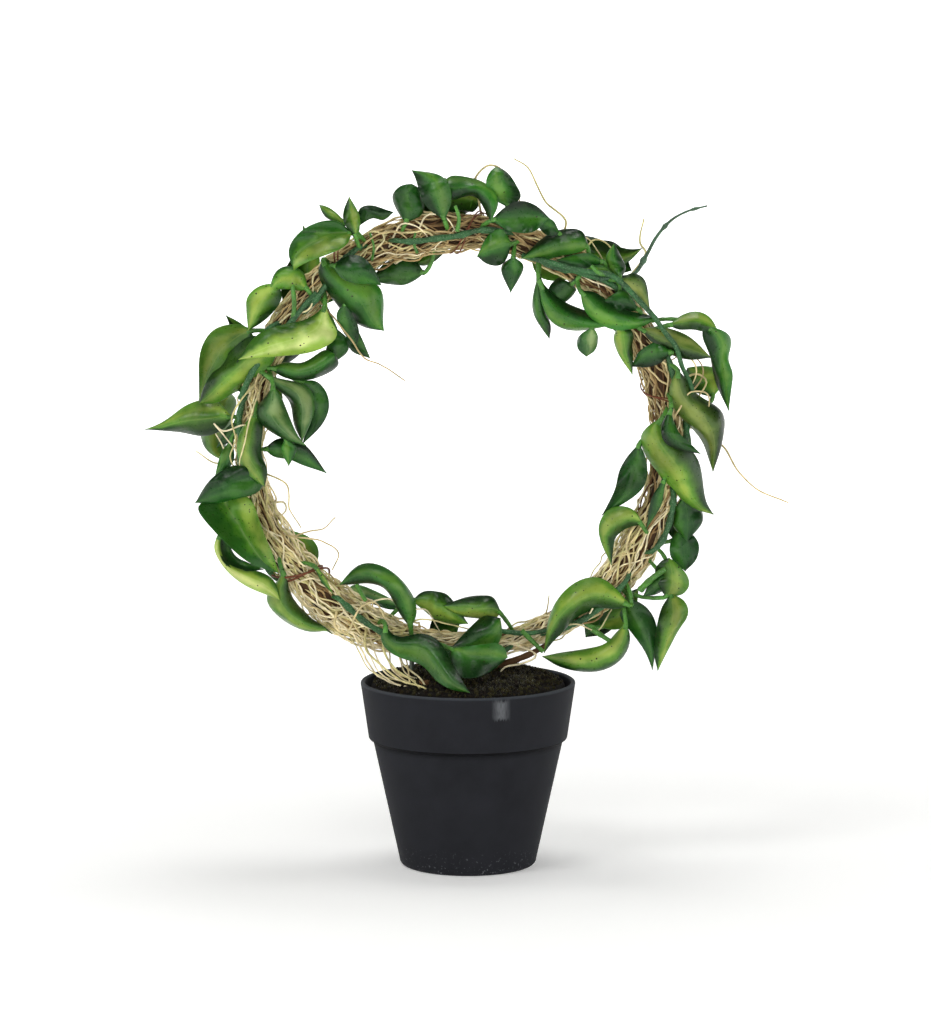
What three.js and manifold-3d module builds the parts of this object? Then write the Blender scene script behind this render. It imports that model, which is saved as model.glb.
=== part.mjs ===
// A potted hoya trained round a hoop of air roots. Millimetres, +Z up, front towards -Y.
// The origin is on the pot's axis, on the surface that the pot stands on.
import * as THREE from 'three';
import { mergeVertices } from 'three/addons/utils/BufferGeometryUtils.js';
import Module from 'manifold-3d';

const wasm = await Module();
wasm.setup();

// Driving dimensions
const GAP = 0.35; // clearance between pieces that lie against each other
const HOOP = { x: -5, z: 239, radius: 116 }; // centre line of the root hoop, in the plane y = 0
const WIRE = {
  radius: 1.5, legFrom: 257, legTo: -80, legFoot: 30, bend: 9, blend: 4.4, arcPoints: 36,
  steps: 40, sides: 5,
};
const POT = {
  rim: 60, height: 104, bandFoot: 72, bandRadius: 55.6, body: 53, foot: 38.4, footRound: 3.5,
  wall: 2, lip: 2.6, floor: 3, ringIn: 29, pad: 9, recess: 1.4, sides: 24,
};
const DRAIN = { count: 6, orbit: 19, radius: 2.6, sides: 8 };
const SOIL = { crown: 111, edge: 100, lump: 0.8, rings: 4, flare: 1.4 };
const BUNDLE = { steps: 50, strands: 7, twist: 2, groove: 0.26, wander: 0.05 };
const STEM = { radius: 1.9, sides: 5, knot: 0.3, seat: 0.93 };
const STALK = { width: 1.1, thick: 1 };
const BLADE = { middle: 1.3, edge: 0.7 };
const STRAND = { radius: 0.8, sides: 3 };
const TWIG = { radius: 1.1, tip: 0.6, knot: 0.5, knots: 18, steps: 12, sides: 4 };
const TIE = { radius: 0.7, sides: 3, lift: 1.6, steps: 14, from: 60, stride: 30 };

// The leaves' outlines are heights and widths on the hoop's plane, measured by eye from this point in front.
// A depth then slides a place along its line of sight.
const SIGHT = new THREE.Vector3(-1.4, -2478.6, 525.1);

// Half thickness of the root bundle at turns round the hoop, in degrees from +X towards +Z
const BUNDLE_HALF = [
  [-8, 9.5], [15, 9.8], [45, 9], [75, 9.5], [104, 12.5], [125, 10], [150, 8.5], [172, 8], [193, 7.5],
  [217, 11.5], [240, 13.5], [262, 8.5], [284, 6.5], [306, 9], [331, 12.5],
];

// A leaf: name, tone, foot [x, z, depth], stations [left x, left z, right x, right z, depth, tilt, bow] and
// tip [x, z, depth]. Tilt sets the left edge back and the right edge forward. Bow sets both edges back.
const FOLIAGE = [
  {
    name: 'vine_right',
    stem: [[-6, 40], [6, 20], [15, 45], [23, 40], [31, 35]],
    leaves: [
      ['great', 'pale', [108, 252, -15], [
        [95.5, 243, 112, 246, -18, 1, 2], [97, 231, 120, 236.5, -22, 2, 3],
        [106, 220, 129.5, 228, -22, 2, 3], [114, 209, 131, 212, -19, 1, 3],
        [125, 200.5, 132.5, 204, -15, 0, 2],
      ], [136.5, 197.5, -12]],
      ['olive_face', 'olive', [116, 278, -13], [
        [111, 268, 122, 272, -16, 0, 2], [112.5, 258, 127, 262, -17, -2, 3],
        [120, 249, 143, 256, -13, -3, 4], [130, 239, 142.5, 245, -10, 0, 3],
        [133, 230, 140.5, 234, -8, 0, 2],
      ], [136, 221.5, -6]],
      ['arch', 'light', [111, 303, -11], [
        [117, 308, 117, 300, -12, 2, 2], [126, 311, 125, 300.5, -13, 3, 3],
        [134, 307.5, 132, 299, -11, 2, 2],
      ], [139, 298, -9]],
      ['twisted', 'green', [131, 303, -9], [
        [130, 295, 142, 298, -11, 2, 2], [133.5, 285, 145.5, 289, -7, -3, 3],
        [136, 275, 147, 277, -7, 3, 2], [139.5, 264, 147, 266, -5, 0, 2],
      ], [144, 254.5, -4]],
      ['behind', 'olive', [121, 301, -3], [
        [118, 291, 132, 296, -2, 0, 2], [121, 283, 134, 287, -1, 0, 2],
      ], [127, 278, 0]],
      ['inner', 'dark', [113, 288, -11], [
        [105, 293, 106, 281.5, -12, 1, 2], [98, 291.5, 98, 279.5, -11, 1, 2],
      ], [90, 280, -9]],
    ],
  },
  {
    name: 'vine_upper_right',
    stem: [[37, 35], [46, 60], [56, 100], [63, 125], [70, 110]],
    leaves: [
      ['long', 'green', [66, 346, -13], [
        [63.5, 355, 62, 343, -16, 1, 2], [54, 356, 52, 341, -18, 1, 3], [43, 352.5, 42, 339, -16, 1, 2],
      ], [29.5, 340, -13]],
      ['under', 'dark', [75, 338, -13], [
        [68, 343, 68, 334, -13, 0, 1], [58, 342, 58, 335, -12, 0, 1],
      ], [48, 339, -12]],
      ['upright', 'green', [84, 329, -15], [
        [77, 335, 87.5, 334, -16, 0, 2], [76, 341, 84.5, 341, -14, 0, 1],
      ], [80.5, 348, -12]],
      ['olive', 'olive', [84, 328, -14], [
        [90, 332, 88, 321, -14, 1, 2], [97.5, 329, 94, 317, -12, 1, 2],
      ], [100.5, 311.5, -10]],
      ['bright', 'light', [62, 322, -13], [
        [71, 321.5, 64, 311, -15, 1, 3], [79, 314.5, 72, 303, -17, 1, 3], [90, 310.5, 84, 299.5, -17, 1, 3],
        [98, 309, 96, 302, -15, 0, 2],
      ], [105, 307, -13]],
      ['hanging', 'dark', [39, 331, -6], [
        [35.5, 318, 43, 321, -7, 0, 2], [36, 309, 43.5, 309, -7, 0, 2], [40, 302, 46, 303, -6, 0, 1],
      ], [45, 295.5, -5]],
      ['sweep', 'green', [39, 329, -9], [
        [47, 320, 41, 313, -10, 1, 2], [57, 313.5, 47, 303, -12, 1, 3], [67, 310, 58, 298.5, -12, 1, 3],
        [74, 306, 69, 300.5, -11, 0, 2],
      ], [79, 303, -10]],
      ['deep', 'dark', [62, 332, -2], [
        [53, 331, 60, 322, -2, 0, 1], [45, 325, 53, 315, -1, 0, 1],
      ], [43, 316, 0]],
      ['grey', 'grey', [69, 302, -9], [
        [61, 296.5, 72, 297, -10, 0, 2], [60.5, 290, 71, 289.5, -9, 0, 1],
      ], [65.5, 285.5, -8]],
      ['drop', 'light', [85, 304, -13], [
        [80.5, 297, 91.5, 299, -14, 0, 2], [82.5, 288, 91.5, 288, -13, 0, 2],
      ], [91, 275.5, -11]],
    ],
    twig: [[91, 331, -9], [98, 341, -4], [104, 352, 0], [112, 361, 1], [121, 366, 1], [132, 369, 0]],
  },
  {
    name: 'vine_top',
    stem: [[75, 70], [84, 80], [92, 100], [101, 100], [109, 80]],
    leaves: [
      ['left_dark', 'dark', [-34, 359, -9], [
        [-40.5, 368, -25, 364, -11, 1, 2], [-42, 375, -24, 372, -12, 0, 2],
        [-37, 380, -27, 378.5, -10, 0, 1],
      ], [-31, 381, -8]],
      ['left_light', 'light', [-13, 361, -14], [
        [-23, 368, -9, 371, -16, 1, 2], [-27, 377, -10, 380, -16, 0, 3], [-29, 384, -15, 386, -13, 0, 2],
      ], [-31, 388.5, -11]],
      ['saddle', 'green', [-13, 383, -8], [
        [-9, 385.5, -12, 371, -11, 2, 3], [1, 384.5, -1, 374.5, -14, 2, 3], [11, 381, 5, 373.5, -15, 1, 3],
        [17.5, 372, 9, 366.5, -16, 0, 2],
      ], [12.5, 360.5, -16]],
      ['point', 'dark', [18, 368, -9], [
        [14, 376, 28, 372.5, -10, 0, 2], [11.5, 384, 24.5, 380, -9, 0, 2],
      ], [14.5, 389.5, -7]],
      ['round', 'dark', [13, 361, -15], [
        [20, 368.5, 21, 356, -18, 1, 3], [28, 372.5, 31, 354, -20, 1, 3], [37, 370, 39, 356.5, -18, 0, 2],
      ], [45, 362, -15]],
      ['tucked', 'dark', [51, 353, -12], [
        [46, 362, 43, 353, -13, 0, 1],
      ], [36, 361, -13]],
      ['curl', 'green', [24, 348, -14], [
        [19, 356.5, 20, 337, -17, 0, 3], [11, 353, 12, 336, -17, 0, 2],
      ], [5, 341, -14]],
      ['drip', 'dark', [25, 341, -12], [
        [18, 335, 31, 335.5, -13, 0, 2],
      ], [23.5, 321, -12]],
      ['olive_back', 'olive', [-7, 351, 16], [
        [-14, 349, -16, 340, 18, 0, 0], [-25, 347, -25, 335, 18, 0, 0],
      ], [-35, 343, 16]],
      ['low_dark', 'dark', [-24, 332, 5], [
        [-31, 341, -32, 326, 6, 0, 2], [-42, 341, -42, 325, 6, 0, 2],
      ], [-54, 328, 5]],
    ],
  },
  {
    name: 'vine_upper_left',
    stem: [[115, 60], [124, 80], [133, 110], [141, 120]],
    leaves: [
      ['broad', 'green', [-64, 354, -14], [
        [-73, 361.5, -67, 347, -18, 1, -2], [-85, 359.5, -78, 342, -20, 1, -3],
        [-95, 353, -88, 338.5, -18, 0, -3], [-99.5, 344, -94, 335, -15, 0, -2],
      ], [-96, 333, -12]],
      ['spike', 'light', [-67, 359, -10], [
        [-72, 364.5, -74, 360, -11, 0, 1], [-78, 368.5, -79, 363, -10, 0, 1],
      ], [-82, 369.5, -9]],
      ['bud', 'light', [-62, 352, -16], [
        [-67.5, 358, -59.5, 358, -17, 0, 2], [-69, 365, -60, 365, -14, 0, 2],
      ], [-65.5, 374, -10]],
      ['arch', 'dark', [-61, 357, -4], [
        [-60, 368, -57, 360, -6, 0, 1], [-53, 369.5, -52, 362.5, -7, 0, 2],
        [-47, 367.5, -47, 360.5, -7, 0, 1],
      ], [-41, 365.5, -6]],
      ['lobe', 'green', [-80, 339, -14], [
        [-83.5, 332, -72, 335, -17, 1, 3], [-79, 322, -61, 328, -20, 1, 4],
        [-72.5, 313, -48, 325, -21, 1, 5], [-65, 304, -46.5, 314, -20, 0, 3],
        [-57, 301, -47, 306, -16, 0, 2],
      ], [-46.5, 300, -13]],
      ['gloss', 'dark', [-75, 336, -18], [
        [-67, 341.5, -70, 329, -24, 1, 2], [-58, 341, -60, 325.5, -27, 1, 3],
        [-51.5, 334, -52, 325.5, -25, 0, 2],
      ], [-48, 325, -22]],
      ['shade', 'dark', [-68, 316, -13], [
        [-73, 309, -62, 306, -14, 0, 1], [-69, 299, -60, 298, -12, 0, 1],
      ], [-62, 291, -11]],
    ],
  },
  {
    name: 'vine_left_top',
    stem: [[146, 70], [151, 50], [157, 60], [162, 80]],
    leaves: [
      ['pale', 'pale', [-79, 314, -13], [
        [-87, 307, -75.5, 305, -17, 1, 2], [-97, 304, -71, 296, -23, 1, 3],
        [-108, 302, -86, 287, -25, 1, 4], [-118, 297, -104, 285.5, -23, 0, 3],
      ], [-127, 284, -19]],
      ['slant', 'light', [-105, 291, -15], [
        [-119, 298, -108, 281, -16, 0, 3], [-129, 291, -119, 273.5, -13, 0, 4],
        [-138.5, 281, -130, 265, -9, 0, 4], [-146, 270, -139, 259.5, -5, 0, 3],
      ], [-149, 259.5, -2]],
      ['cupped', 'light', [-119, 300, -10], [
        [-128, 304.5, -122, 292, -8, 0, -2], [-140, 302, -127, 283, -4, 0, -4],
        [-148, 291, -134, 274, 0, 0, -4], [-149, 275, -142, 266, 3, 0, -2],
      ], [-149, 261, 5]],
      ['bright', 'light', [-105, 326, -9], [
        [-115, 325, -102.5, 319, -12, 1, 3], [-122.5, 318.5, -106, 312, -14, 1, 4],
        [-122.5, 309, -113, 305, -13, 0, 3],
      ], [-121.5, 300, -12]],
      ['bridge', 'light', [-89, 323, -10], [
        [-90.5, 332, -94, 321.5, -11, 1, 2], [-98, 336, -98, 323, -12, 1, 3],
        [-106.5, 333, -104, 322.5, -12, 1, 2],
      ], [-110, 320, -10]],
      ['ridge', 'green', [-109, 279, -12], [
        [-101, 282.5, -103, 274, -15, 0, 2], [-93, 281, -92, 271.5, -17, 0, 3],
        [-85, 285.5, -80, 274, -17, 0, 3], [-79, 289.5, -71, 280.5, -15, 0, 2],
      ], [-74, 287, -13]],
      ['inner', 'dark', [-66, 308, -5], [
        [-60.5, 300, -67.5, 297, -6, 0, 1], [-57, 292, -65, 289, -6, 0, 1],
      ], [-54, 284.5, -5]],
      ['hollow', 'dark', [-74, 302, -8], [
        [-66, 295, -78, 292, -8, 0, 1], [-66.5, 288, -79, 285.5, -8, 0, 1],
      ], [-74, 282.5, -7]],
    ],
  },
  {
    name: 'vine_left',
    stem: [[167, 60], [173, 50], [180, 60], [188, 50], [195, 60]],
    leaves: [
      ['wing', 'light', [-131, 252, -5], [
        [-138, 259.5, -136, 244, -7, 0, 2], [-148, 261, -147, 240, -6, 0, 3],
        [-158, 257.5, -158, 242, -4, 0, 3], [-168, 249.5, -168, 244, -2, 0, 1],
      ], [-179, 245, -1]],
      ['face', 'grey', [-108, 269, -17], [
        [-113, 262, -104, 264, -20, 1, 2], [-120, 253, -101.5, 256, -23, 1, 3],
        [-110, 243, -97.5, 248, -24, 0, 4], [-99, 238, -94.5, 241.5, -22, 0, 2],
      ], [-90, 236, -20]],
      ['loop', 'grey', [-113, 276, -12], [
        [-101, 272, -107, 268, -14, 0, 1], [-89, 269.5, -101.5, 263.5, -16, 0, 2],
        [-84, 260, -98, 256, -17, 0, 3], [-87, 249, -97, 247, -16, 0, 2],
      ], [-92, 238.5, -14]],
      ['rear', 'dark', [-93, 272, -6], [
        [-83, 272, -91, 266, -7, 0, 1], [-76.5, 262, -89, 258, -8, 0, 2], [-79, 250, -89, 249, -7, 0, 1],
      ], [-92, 236.5, -5]],
      ['dart', 'dark', [-113, 234, -11], [
        [-106, 240, -107, 229, -13, 0, 2], [-97, 239.5, -99, 228, -13, 0, 3],
        [-90, 236.5, -92, 225, -11, 0, 2],
      ], [-78.5, 220.5, -7]],
      ['curve', 'green', [-121, 253, -15], [
        [-128, 243, -113.5, 243, -19, 1, 3], [-131, 232, -116, 231, -21, 1, 4],
        [-130, 222, -111.5, 219, -21, 1, 3], [-136, 219.5, -117, 209.5, -21, 0, 3],
        [-145, 216, -133, 205.5, -19, 0, 3],
      ], [-151, 203, -15]],
      ['shade', 'dark', [-128, 250, 4], [
        [-134, 246, -129, 240, 5, 0, 1],
      ], [-139.5, 235, 6]],
      ['back_lobe', 'green', [-131, 240, -3], [
        [-137, 232, -130, 227, -4, 0, 1],
      ], [-141, 217, -4]],
    ],
  },
  {
    name: 'vine_lower_left',
    stem: [[201, 40], [206, 30], [212, 20], [219, 10]],
    leaves: [
      ['large', 'light', [-130, 210, -6], [
        [-151, 204, -121, 208, -8, 0, -1], [-147.5, 197, -117, 200, -13, 0, -2],
        [-139, 188, -113.5, 189, -17, 0, -3], [-130, 177, -109.5, 179, -18, 0, -2],
        [-118, 168.5, -107, 171, -16, 0, -1],
      ], [-105.5, 164.5, -13]],
      ['yellow', 'pale', [-137, 188, -13], [
        [-142.5, 181, -137, 182, -11, 0, 1], [-142, 174, -131, 173, -10, 0, 3],
        [-135, 164.5, -123, 168, -12, 0, 4], [-123, 158, -112, 166, -15, 0, 4],
        [-113, 153.5, -106, 159, -15, 0, 2],
      ], [-104, 150, -14]],
      ['sickle', 'light', [-103, 168, -9], [
        [-105.5, 160, -99.5, 160, -12, 0, 1], [-114, 151.5, -98.5, 152, -14, 0, 3],
        [-110, 142.5, -93, 144, -14, 0, 3], [-101, 134.5, -86, 138.5, -12, 0, 3],
        [-90, 130.5, -80, 136, -9, 0, 2],
      ], [-74, 133, -5]],
      ['under', 'dark', [-62, 128, 16], [
        [-71, 130, -68, 140, 17, 0, 1], [-80, 136, -76, 148, 17, 0, 1],
      ], [-81, 150, 16]],
    ],
  },
  {
    name: 'vine_bottom_left',
    stem: [[231, 120], [238, 110], [246, 100], [254, 95]],
    leaves: [
      ['arch', 'green', [-32, 134, -15], [
        [-39, 142, -28, 142, -19, 0, 2], [-42.5, 150, -31, 153, -22, 0, 3],
        [-47, 156, -38.5, 162, -24, 0, 3], [-55, 158, -48, 168.5, -23, 0, 3],
        [-63, 157.5, -61, 169.5, -20, 0, 3],
      ], [-71.5, 158, -17]],
      ['olive', 'olive', [-31, 149, -4], [
        [-25, 154, -26, 144, -6, 0, 2], [-15, 153.5, -19, 138.5, -8, 0, 3],
        [-9, 149.5, -11, 135, -10, 0, 2],
      ], [0, 136, -10]],
      ['curled', 'green', [-46, 135, -22], [
        [-49.5, 128, -42, 130, -24, 0, 2], [-45, 119, -37, 127, -28, 0, 3],
        [-33, 115, -26, 132.5, -31, 1, 4], [-24.5, 113, -14.5, 127, -36, 0, 4],
        [-20.5, 105, -9, 113, -42, 0, 3], [-10, 98.5, -4, 105.5, -49, 0, 2],
      ], [1, 97, -53]],
    ],
  },
  {
    name: 'vine_bottom',
    stem: [[262, 80], [270, 70], [278, 60], [285, 70]],
    leaves: [
      ['rolled', 'olive', [18, 142, -10], [
        [14, 151.5, 15, 138, -13, 0, 3], [5, 151, 5, 138, -15, 0, 4], [-5, 149.5, -5, 140, -13, 0, 3],
      ], [-13.5, 146, -11]],
      ['heart_top', 'dark', [-10, 122, -22], [
        [-4, 128, -3, 120, -23, 0, 1], [3, 135, 7, 124, -23, 0, 2], [9.5, 139, 15, 128.5, -21, 0, 2],
      ], [17.5, 138, -18]],
      ['heart_low', 'dark', [-8, 122, -28], [
        [0, 125, -9.5, 113, -34, 3, 2], [8, 126, -1, 105.5, -37, 3, 3], [15, 124.5, 9, 106.5, -37, 3, 3],
        [19.5, 121.5, 17.5, 112.5, -34, 1, 2],
      ], [21.5, 117, -31]],
    ],
  },
  {
    name: 'vine_lower_right',
    stem: [[292, 85], [300, 70], [308, 60], [316, 65], [323, 70]],
    leaves: [
      ['arch', 'light', [91, 146, -14], [
        [84, 154, 83, 144, -16, 0, 2], [75, 162, 70, 144, -19, 0, 4], [62, 161, 60, 138, -22, 0, 5],
        [52, 152.5, 53, 131, -23, 0, 4], [45, 140, 48, 126, -21, 0, 2],
      ], [42.5, 119.5, -18]],
      ['low', 'light', [88, 136, -16], [
        [83, 131, 91, 127, -18, 0, 2], [78, 124.5, 86.5, 114, -20, 0, 2], [67, 120.5, 72, 107.5, -21, 0, 3],
        [54, 120, 54, 109.5, -19, 0, 2],
      ], [41.5, 117.5, -17]],
      ['hanging', 'dark', [91, 150, -12], [
        [84, 141, 98, 147, -13, 0, 2], [90, 132, 105, 137, -15, 0, 3], [98, 122, 105.5, 125, -15, 0, 2],
      ], [103, 110, -13]],
      ['pendant', 'light', [113, 153, -13], [
        [108, 145, 121, 149, -16, 0, 2], [105.5, 136, 123.5, 141, -18, 0, 3],
        [104, 126, 117, 131, -17, 0, 3], [104, 117, 111, 119.5, -15, 0, 2],
      ], [106, 109.5, -13]],
      ['cap', 'light', [110, 151, -13], [
        [106, 158, 120.5, 152.5, -15, 0, 2], [104, 166, 124, 159.5, -16, 0, 3],
        [107, 171, 118, 168.5, -14, 0, 2],
      ], [112, 173, -12]],
    ],
  },
  {
    name: 'vine_right_low',
    stem: [[329, 60], [336, 45], [343, 50], [348, 60]],
    leaves: [
      ['peak', 'dark', [95, 237, -10], [
        [88, 230, 98.5, 230, -11, 0, 2], [83, 221, 99.5, 220, -12, 0, 3], [81, 211, 95, 209.5, -11, 0, 2],
      ], [74.5, 197, -9]],
      ['crook', 'light', [97, 191, -13], [
        [93, 200, 93, 191, -15, 0, 2], [84, 202.5, 86, 188, -17, 0, 3], [75, 198, 82, 184.5, -16, 0, 2],
        [72, 187, 81, 180, -14, 0, 2],
      ], [80, 169, -12]],
      ['speckled', 'dark', [120, 207, -9], [
        [114, 200, 128.5, 203, -9, 0, 2], [113.5, 191, 131, 194, -9, 0, 3],
      ], [122, 182.5, -8]],
      ['outer', 'dark', [119, 190, -4], [
        [112, 182, 127.5, 184, -5, 0, 2], [113, 173, 128, 174, -5, 0, 2],
      ], [121, 165.5, -5]],
    ],
  },
];

// Leaves on the far side repeat front ones, mirrored to the back and turned about the hoop's axis
const FAR_SIDE = {
  vine_right: [['vine_lower_right', 'cap', 46]],
  vine_upper_right: [['vine_right', 'great', 62], ['vine_top', 'round', -24]],
  vine_top: [['vine_right', 'great', 102], ['vine_left_top', 'bright', -54]],
  vine_upper_left: [['vine_right', 'great', 142]],
  vine_left_top: [['vine_right', 'great', 168]],
  vine_left: [['vine_upper_left', 'broad', 52]],
  vine_lower_left: [['vine_right', 'great', 216]],
  vine_bottom: [['vine_top', 'curl', 186]],
  vine_lower_right: [['vine_top', 'round', 234], ['vine_left_top', 'bright', 168]],
  vine_right_low: [['vine_left_top', 'bright', 196]],
};

// Loose roots as seen: [x, z, depth] from where each leaves the bundle
const LOOSE_ROOTS = [
  [[108, 240, 2], [124, 246, 6], [141, 236, 4], [150, 222, 2], [160, 212, 1], [178, 204, 0]],
  [[8, 358, 4], [6, 372, 8], [4, 384, 8], [11, 391, 5], [17, 390, 3], [23, 383, 2], [31, 366, 3]],
  [[48, 346, 3], [54, 360, 4], [43, 371, 3], [38, 380, 2], [33, 390, 1], [25, 395, 0]],
  [[92, 312, 4], [104, 318, 9], [104, 332, 8], [97, 345, 5], [95, 352, 4], [97, 362, 3]],
  [[-117, 222, 3], [-128, 228, 6], [-140, 226, 5], [-151, 233, 4]],
  [[-106, 205, -5], [-102, 204, -7], [-101, 200, -8], [-105, 196, -5]],
  [[-72, 146, -13], [-74, 134, -18], [-68, 131, -20], [-60, 145, -19], [-52, 148, -17], [-46, 138, -14]],
  [[114, 268, 4], [126, 276, 4], [132, 272, 2], [127, 262, 2]],
  [[-56, 136, -11], [-57, 122, -20], [-48, 112, -30], [-37, 103.5, -38], [-26, 100.5, -41], [-20, 97, -40]],
  [[-48, 130, -12], [-46, 118, -18], [-40, 110, -28], [-30, 103, -36], [-25, 97, -37]],
  [[-38, 124, -8], [-38, 117, -12], [-34, 111, -24], [-26, 104, -33], [-22, 97, -33]],
  [[24, 125, -5], [38, 118, -8], [30, 113.5, -12], [20, 111, -14], [15, 103, -14]],
];

// Wire ties round the bundle: name, turn round the hoop and slant along it, in degrees
const TIES = [['tie_left', 220, 5], ['tie_upper_left', 125, 3], ['tie_top', 88, -3], ['tie_right', 12, 4]];

const COLOURS = {
  pot: ['#27292d', 0.62], soil: ['#2a1e14', 0.95], roots: ['#a88a54', 0.8], wire: ['#5d6a58', 0.45],
  leaf: ['#4a8a30', 0.4], tie: ['#8a4526', 0.45],
};

function finish(kind) {
  const [color, roughness] = COLOURS[kind];
  return new THREE.MeshStandardMaterial({ color, roughness, metalness: 0, flatShading: kind === 'soil' });
}

function radians(degrees) {
  return THREE.MathUtils.degToRad(degrees);
}

// A place seen at x and z on the hoop's plane, slid along its line of sight to a depth
function seen(x, z, depth) {
  const part = depth / SIGHT.y;
  return new THREE.Vector3(x + (SIGHT.x - x) * part, depth, z + (SIGHT.z - z) * part);
}

// A place near the hoop: degrees round the hoop, degrees round the bundle (0 outwards, 90 in front) and the
// distance from the hoop's centre line
function onHoop(turn, around, out) {
  const r = HOOP.radius + out * Math.cos(radians(around));
  const y = -out * Math.sin(radians(around));
  return new THREE.Vector3(HOOP.x + r * Math.cos(radians(turn)), y, HOOP.z + r * Math.sin(radians(turn)));
}

function hoopPlace(p) {
  const inPlane = Math.hypot(p.x - HOOP.x, p.z - HOOP.z) - HOOP.radius;
  return {
    turn: THREE.MathUtils.radToDeg(Math.atan2(p.z - HOOP.z, p.x - HOOP.x)),
    around: THREE.MathUtils.radToDeg(Math.atan2(-p.y, inPlane)),
    out: Math.hypot(inPlane, p.y),
  };
}

function wrapped(degrees) {
  return THREE.MathUtils.euclideanModulo(degrees + 180, 360) - 180;
}

// The bundle's half thickness at a turn round the hoop
function bundleHalf(turn) {
  const list = BUNDLE_HALF;
  for (let i = 0; i < list.length; i += 1) {
    const [from, half] = list[i];
    const [to, next] = i + 1 < list.length ? list[i + 1] : [list[0][0] + 360, list[0][1]];
    const along = THREE.MathUtils.euclideanModulo(turn - from, 360) / (to - from);
    if (along < 1) return THREE.MathUtils.lerp(half, next, THREE.MathUtils.smoothstep(along, 0, 1));
  }
  return list[0][1];
}

// Moves a place that would lie in the bundle out to its surface
function clearOfBundle(p, margin) {
  const at = hoopPlace(p);
  const least = bundleHalf(at.turn) + margin;
  return at.out < least ? onHoop(at.turn, at.around, least) : p;
}

// A closed mesh as a solid: shared vertices merged, collapsed faces dropped, faces turned outwards
function solidOf(geometry) {
  const bare = geometry.clone();
  for (const name of Object.keys(bare.attributes)) {
    if (name !== 'position') bare.deleteAttribute(name);
  }
  const merged = mergeVertices(bare, 1e-4);
  const p = merged.attributes.position;
  const faces = [];
  let volume = 0;
  const [a, b, c] = [new THREE.Vector3(), new THREE.Vector3(), new THREE.Vector3()];
  for (let i = 0; i < merged.index.count; i += 3) {
    const [i0, i1, i2] = [merged.index.getX(i), merged.index.getX(i + 1), merged.index.getX(i + 2)];
    if (i0 === i1 || i1 === i2 || i2 === i0) continue;
    a.fromBufferAttribute(p, i0);
    b.fromBufferAttribute(p, i1);
    c.fromBufferAttribute(p, i2);
    volume += a.dot(b.cross(c)) / 6;
    faces.push(i0, i1, i2);
  }
  if (volume < 0) faces.reverse();
  return new wasm.Manifold(new wasm.Mesh({
    numProp: 3, vertProperties: new Float32Array(p.array), triVerts: new Uint32Array(faces),
  }));
}

function geometryOf(solid) {
  const mesh = solid.getMesh();
  const geometry = new THREE.BufferGeometry();
  const flat = new Float32Array(mesh.numVert * 3);
  for (let i = 0; i < mesh.numVert; i += 1) {
    for (let k = 0; k < 3; k += 1) flat[3 * i + k] = mesh.vertProperties[i * mesh.numProp + k];
  }
  geometry.setAttribute('position', new THREE.BufferAttribute(flat, 3));
  geometry.setIndex([...mesh.triVerts]);
  geometry.computeVertexNormals();
  return geometry;
}

// The largest body of a solid, without the scraps that a cut left
function mainBody(solid) {
  const bodies = solid.decompose();
  return bodies.reduce((best, body) => (body.volume() > best.volume() ? body : best));
}

function joined(solids) {
  return solids.reduce((all, solid) => all.add(solid));
}

// A round limb along points: closed at both ends, with a radius for each share of its length
function limb(points, radiusAt, steps, sides) {
  const curve = new THREE.CatmullRomCurve3(points, false, 'centripetal');
  const frames = curve.computeFrenetFrames(steps, false);
  const places = [];
  const faces = [];
  for (let i = 0; i <= steps; i += 1) {
    const centre = curve.getPointAt(i / steps);
    for (let j = 0; j < sides; j += 1) {
      const turn = (2 * Math.PI * j) / sides;
      places.push(centre.clone()
        .addScaledVector(frames.normals[i], radiusAt(i / steps) * Math.cos(turn))
        .addScaledVector(frames.binormals[i], radiusAt(i / steps) * Math.sin(turn)));
      if (i === steps) continue;
      const [k, next] = [i * sides + j, i * sides + ((j + 1) % sides)];
      faces.push(k, next, next + sides, k, next + sides, k + sides);
    }
  }
  const last = steps * sides;
  for (let j = 1; j < sides - 1; j += 1) {
    faces.push(0, j + 1, j, last, last + j, last + j + 1);
  }
  return meshOf(places, faces);
}

function meshOf(places, faces) {
  const geometry = new THREE.BufferGeometry();
  geometry.setAttribute('position', new THREE.Float32BufferAttribute(places.flatMap((p) => p.toArray()), 3));
  geometry.setIndex(faces);
  return geometry;
}

// The three lines that a leaf's net hangs on: left edge, midrib and right edge
function leafLines([, , foot, stations, tip]) {
  const [start, end] = [seen(...foot), seen(...tip)];
  const lines = [[start], [start], [start]];
  for (const [lx, lz, rx, rz, depth, tilt, bow] of stations) {
    lines[0].push(seen(lx, lz, depth + bow + tilt));
    lines[1].push(seen((lx + rx) / 2, (lz + rz) / 2, depth));
    lines[2].push(seen(rx, rz, depth + bow - tilt));
  }
  return lines.map((line) => new THREE.CatmullRomCurve3([...line, end], false, 'centripetal'));
}

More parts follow.
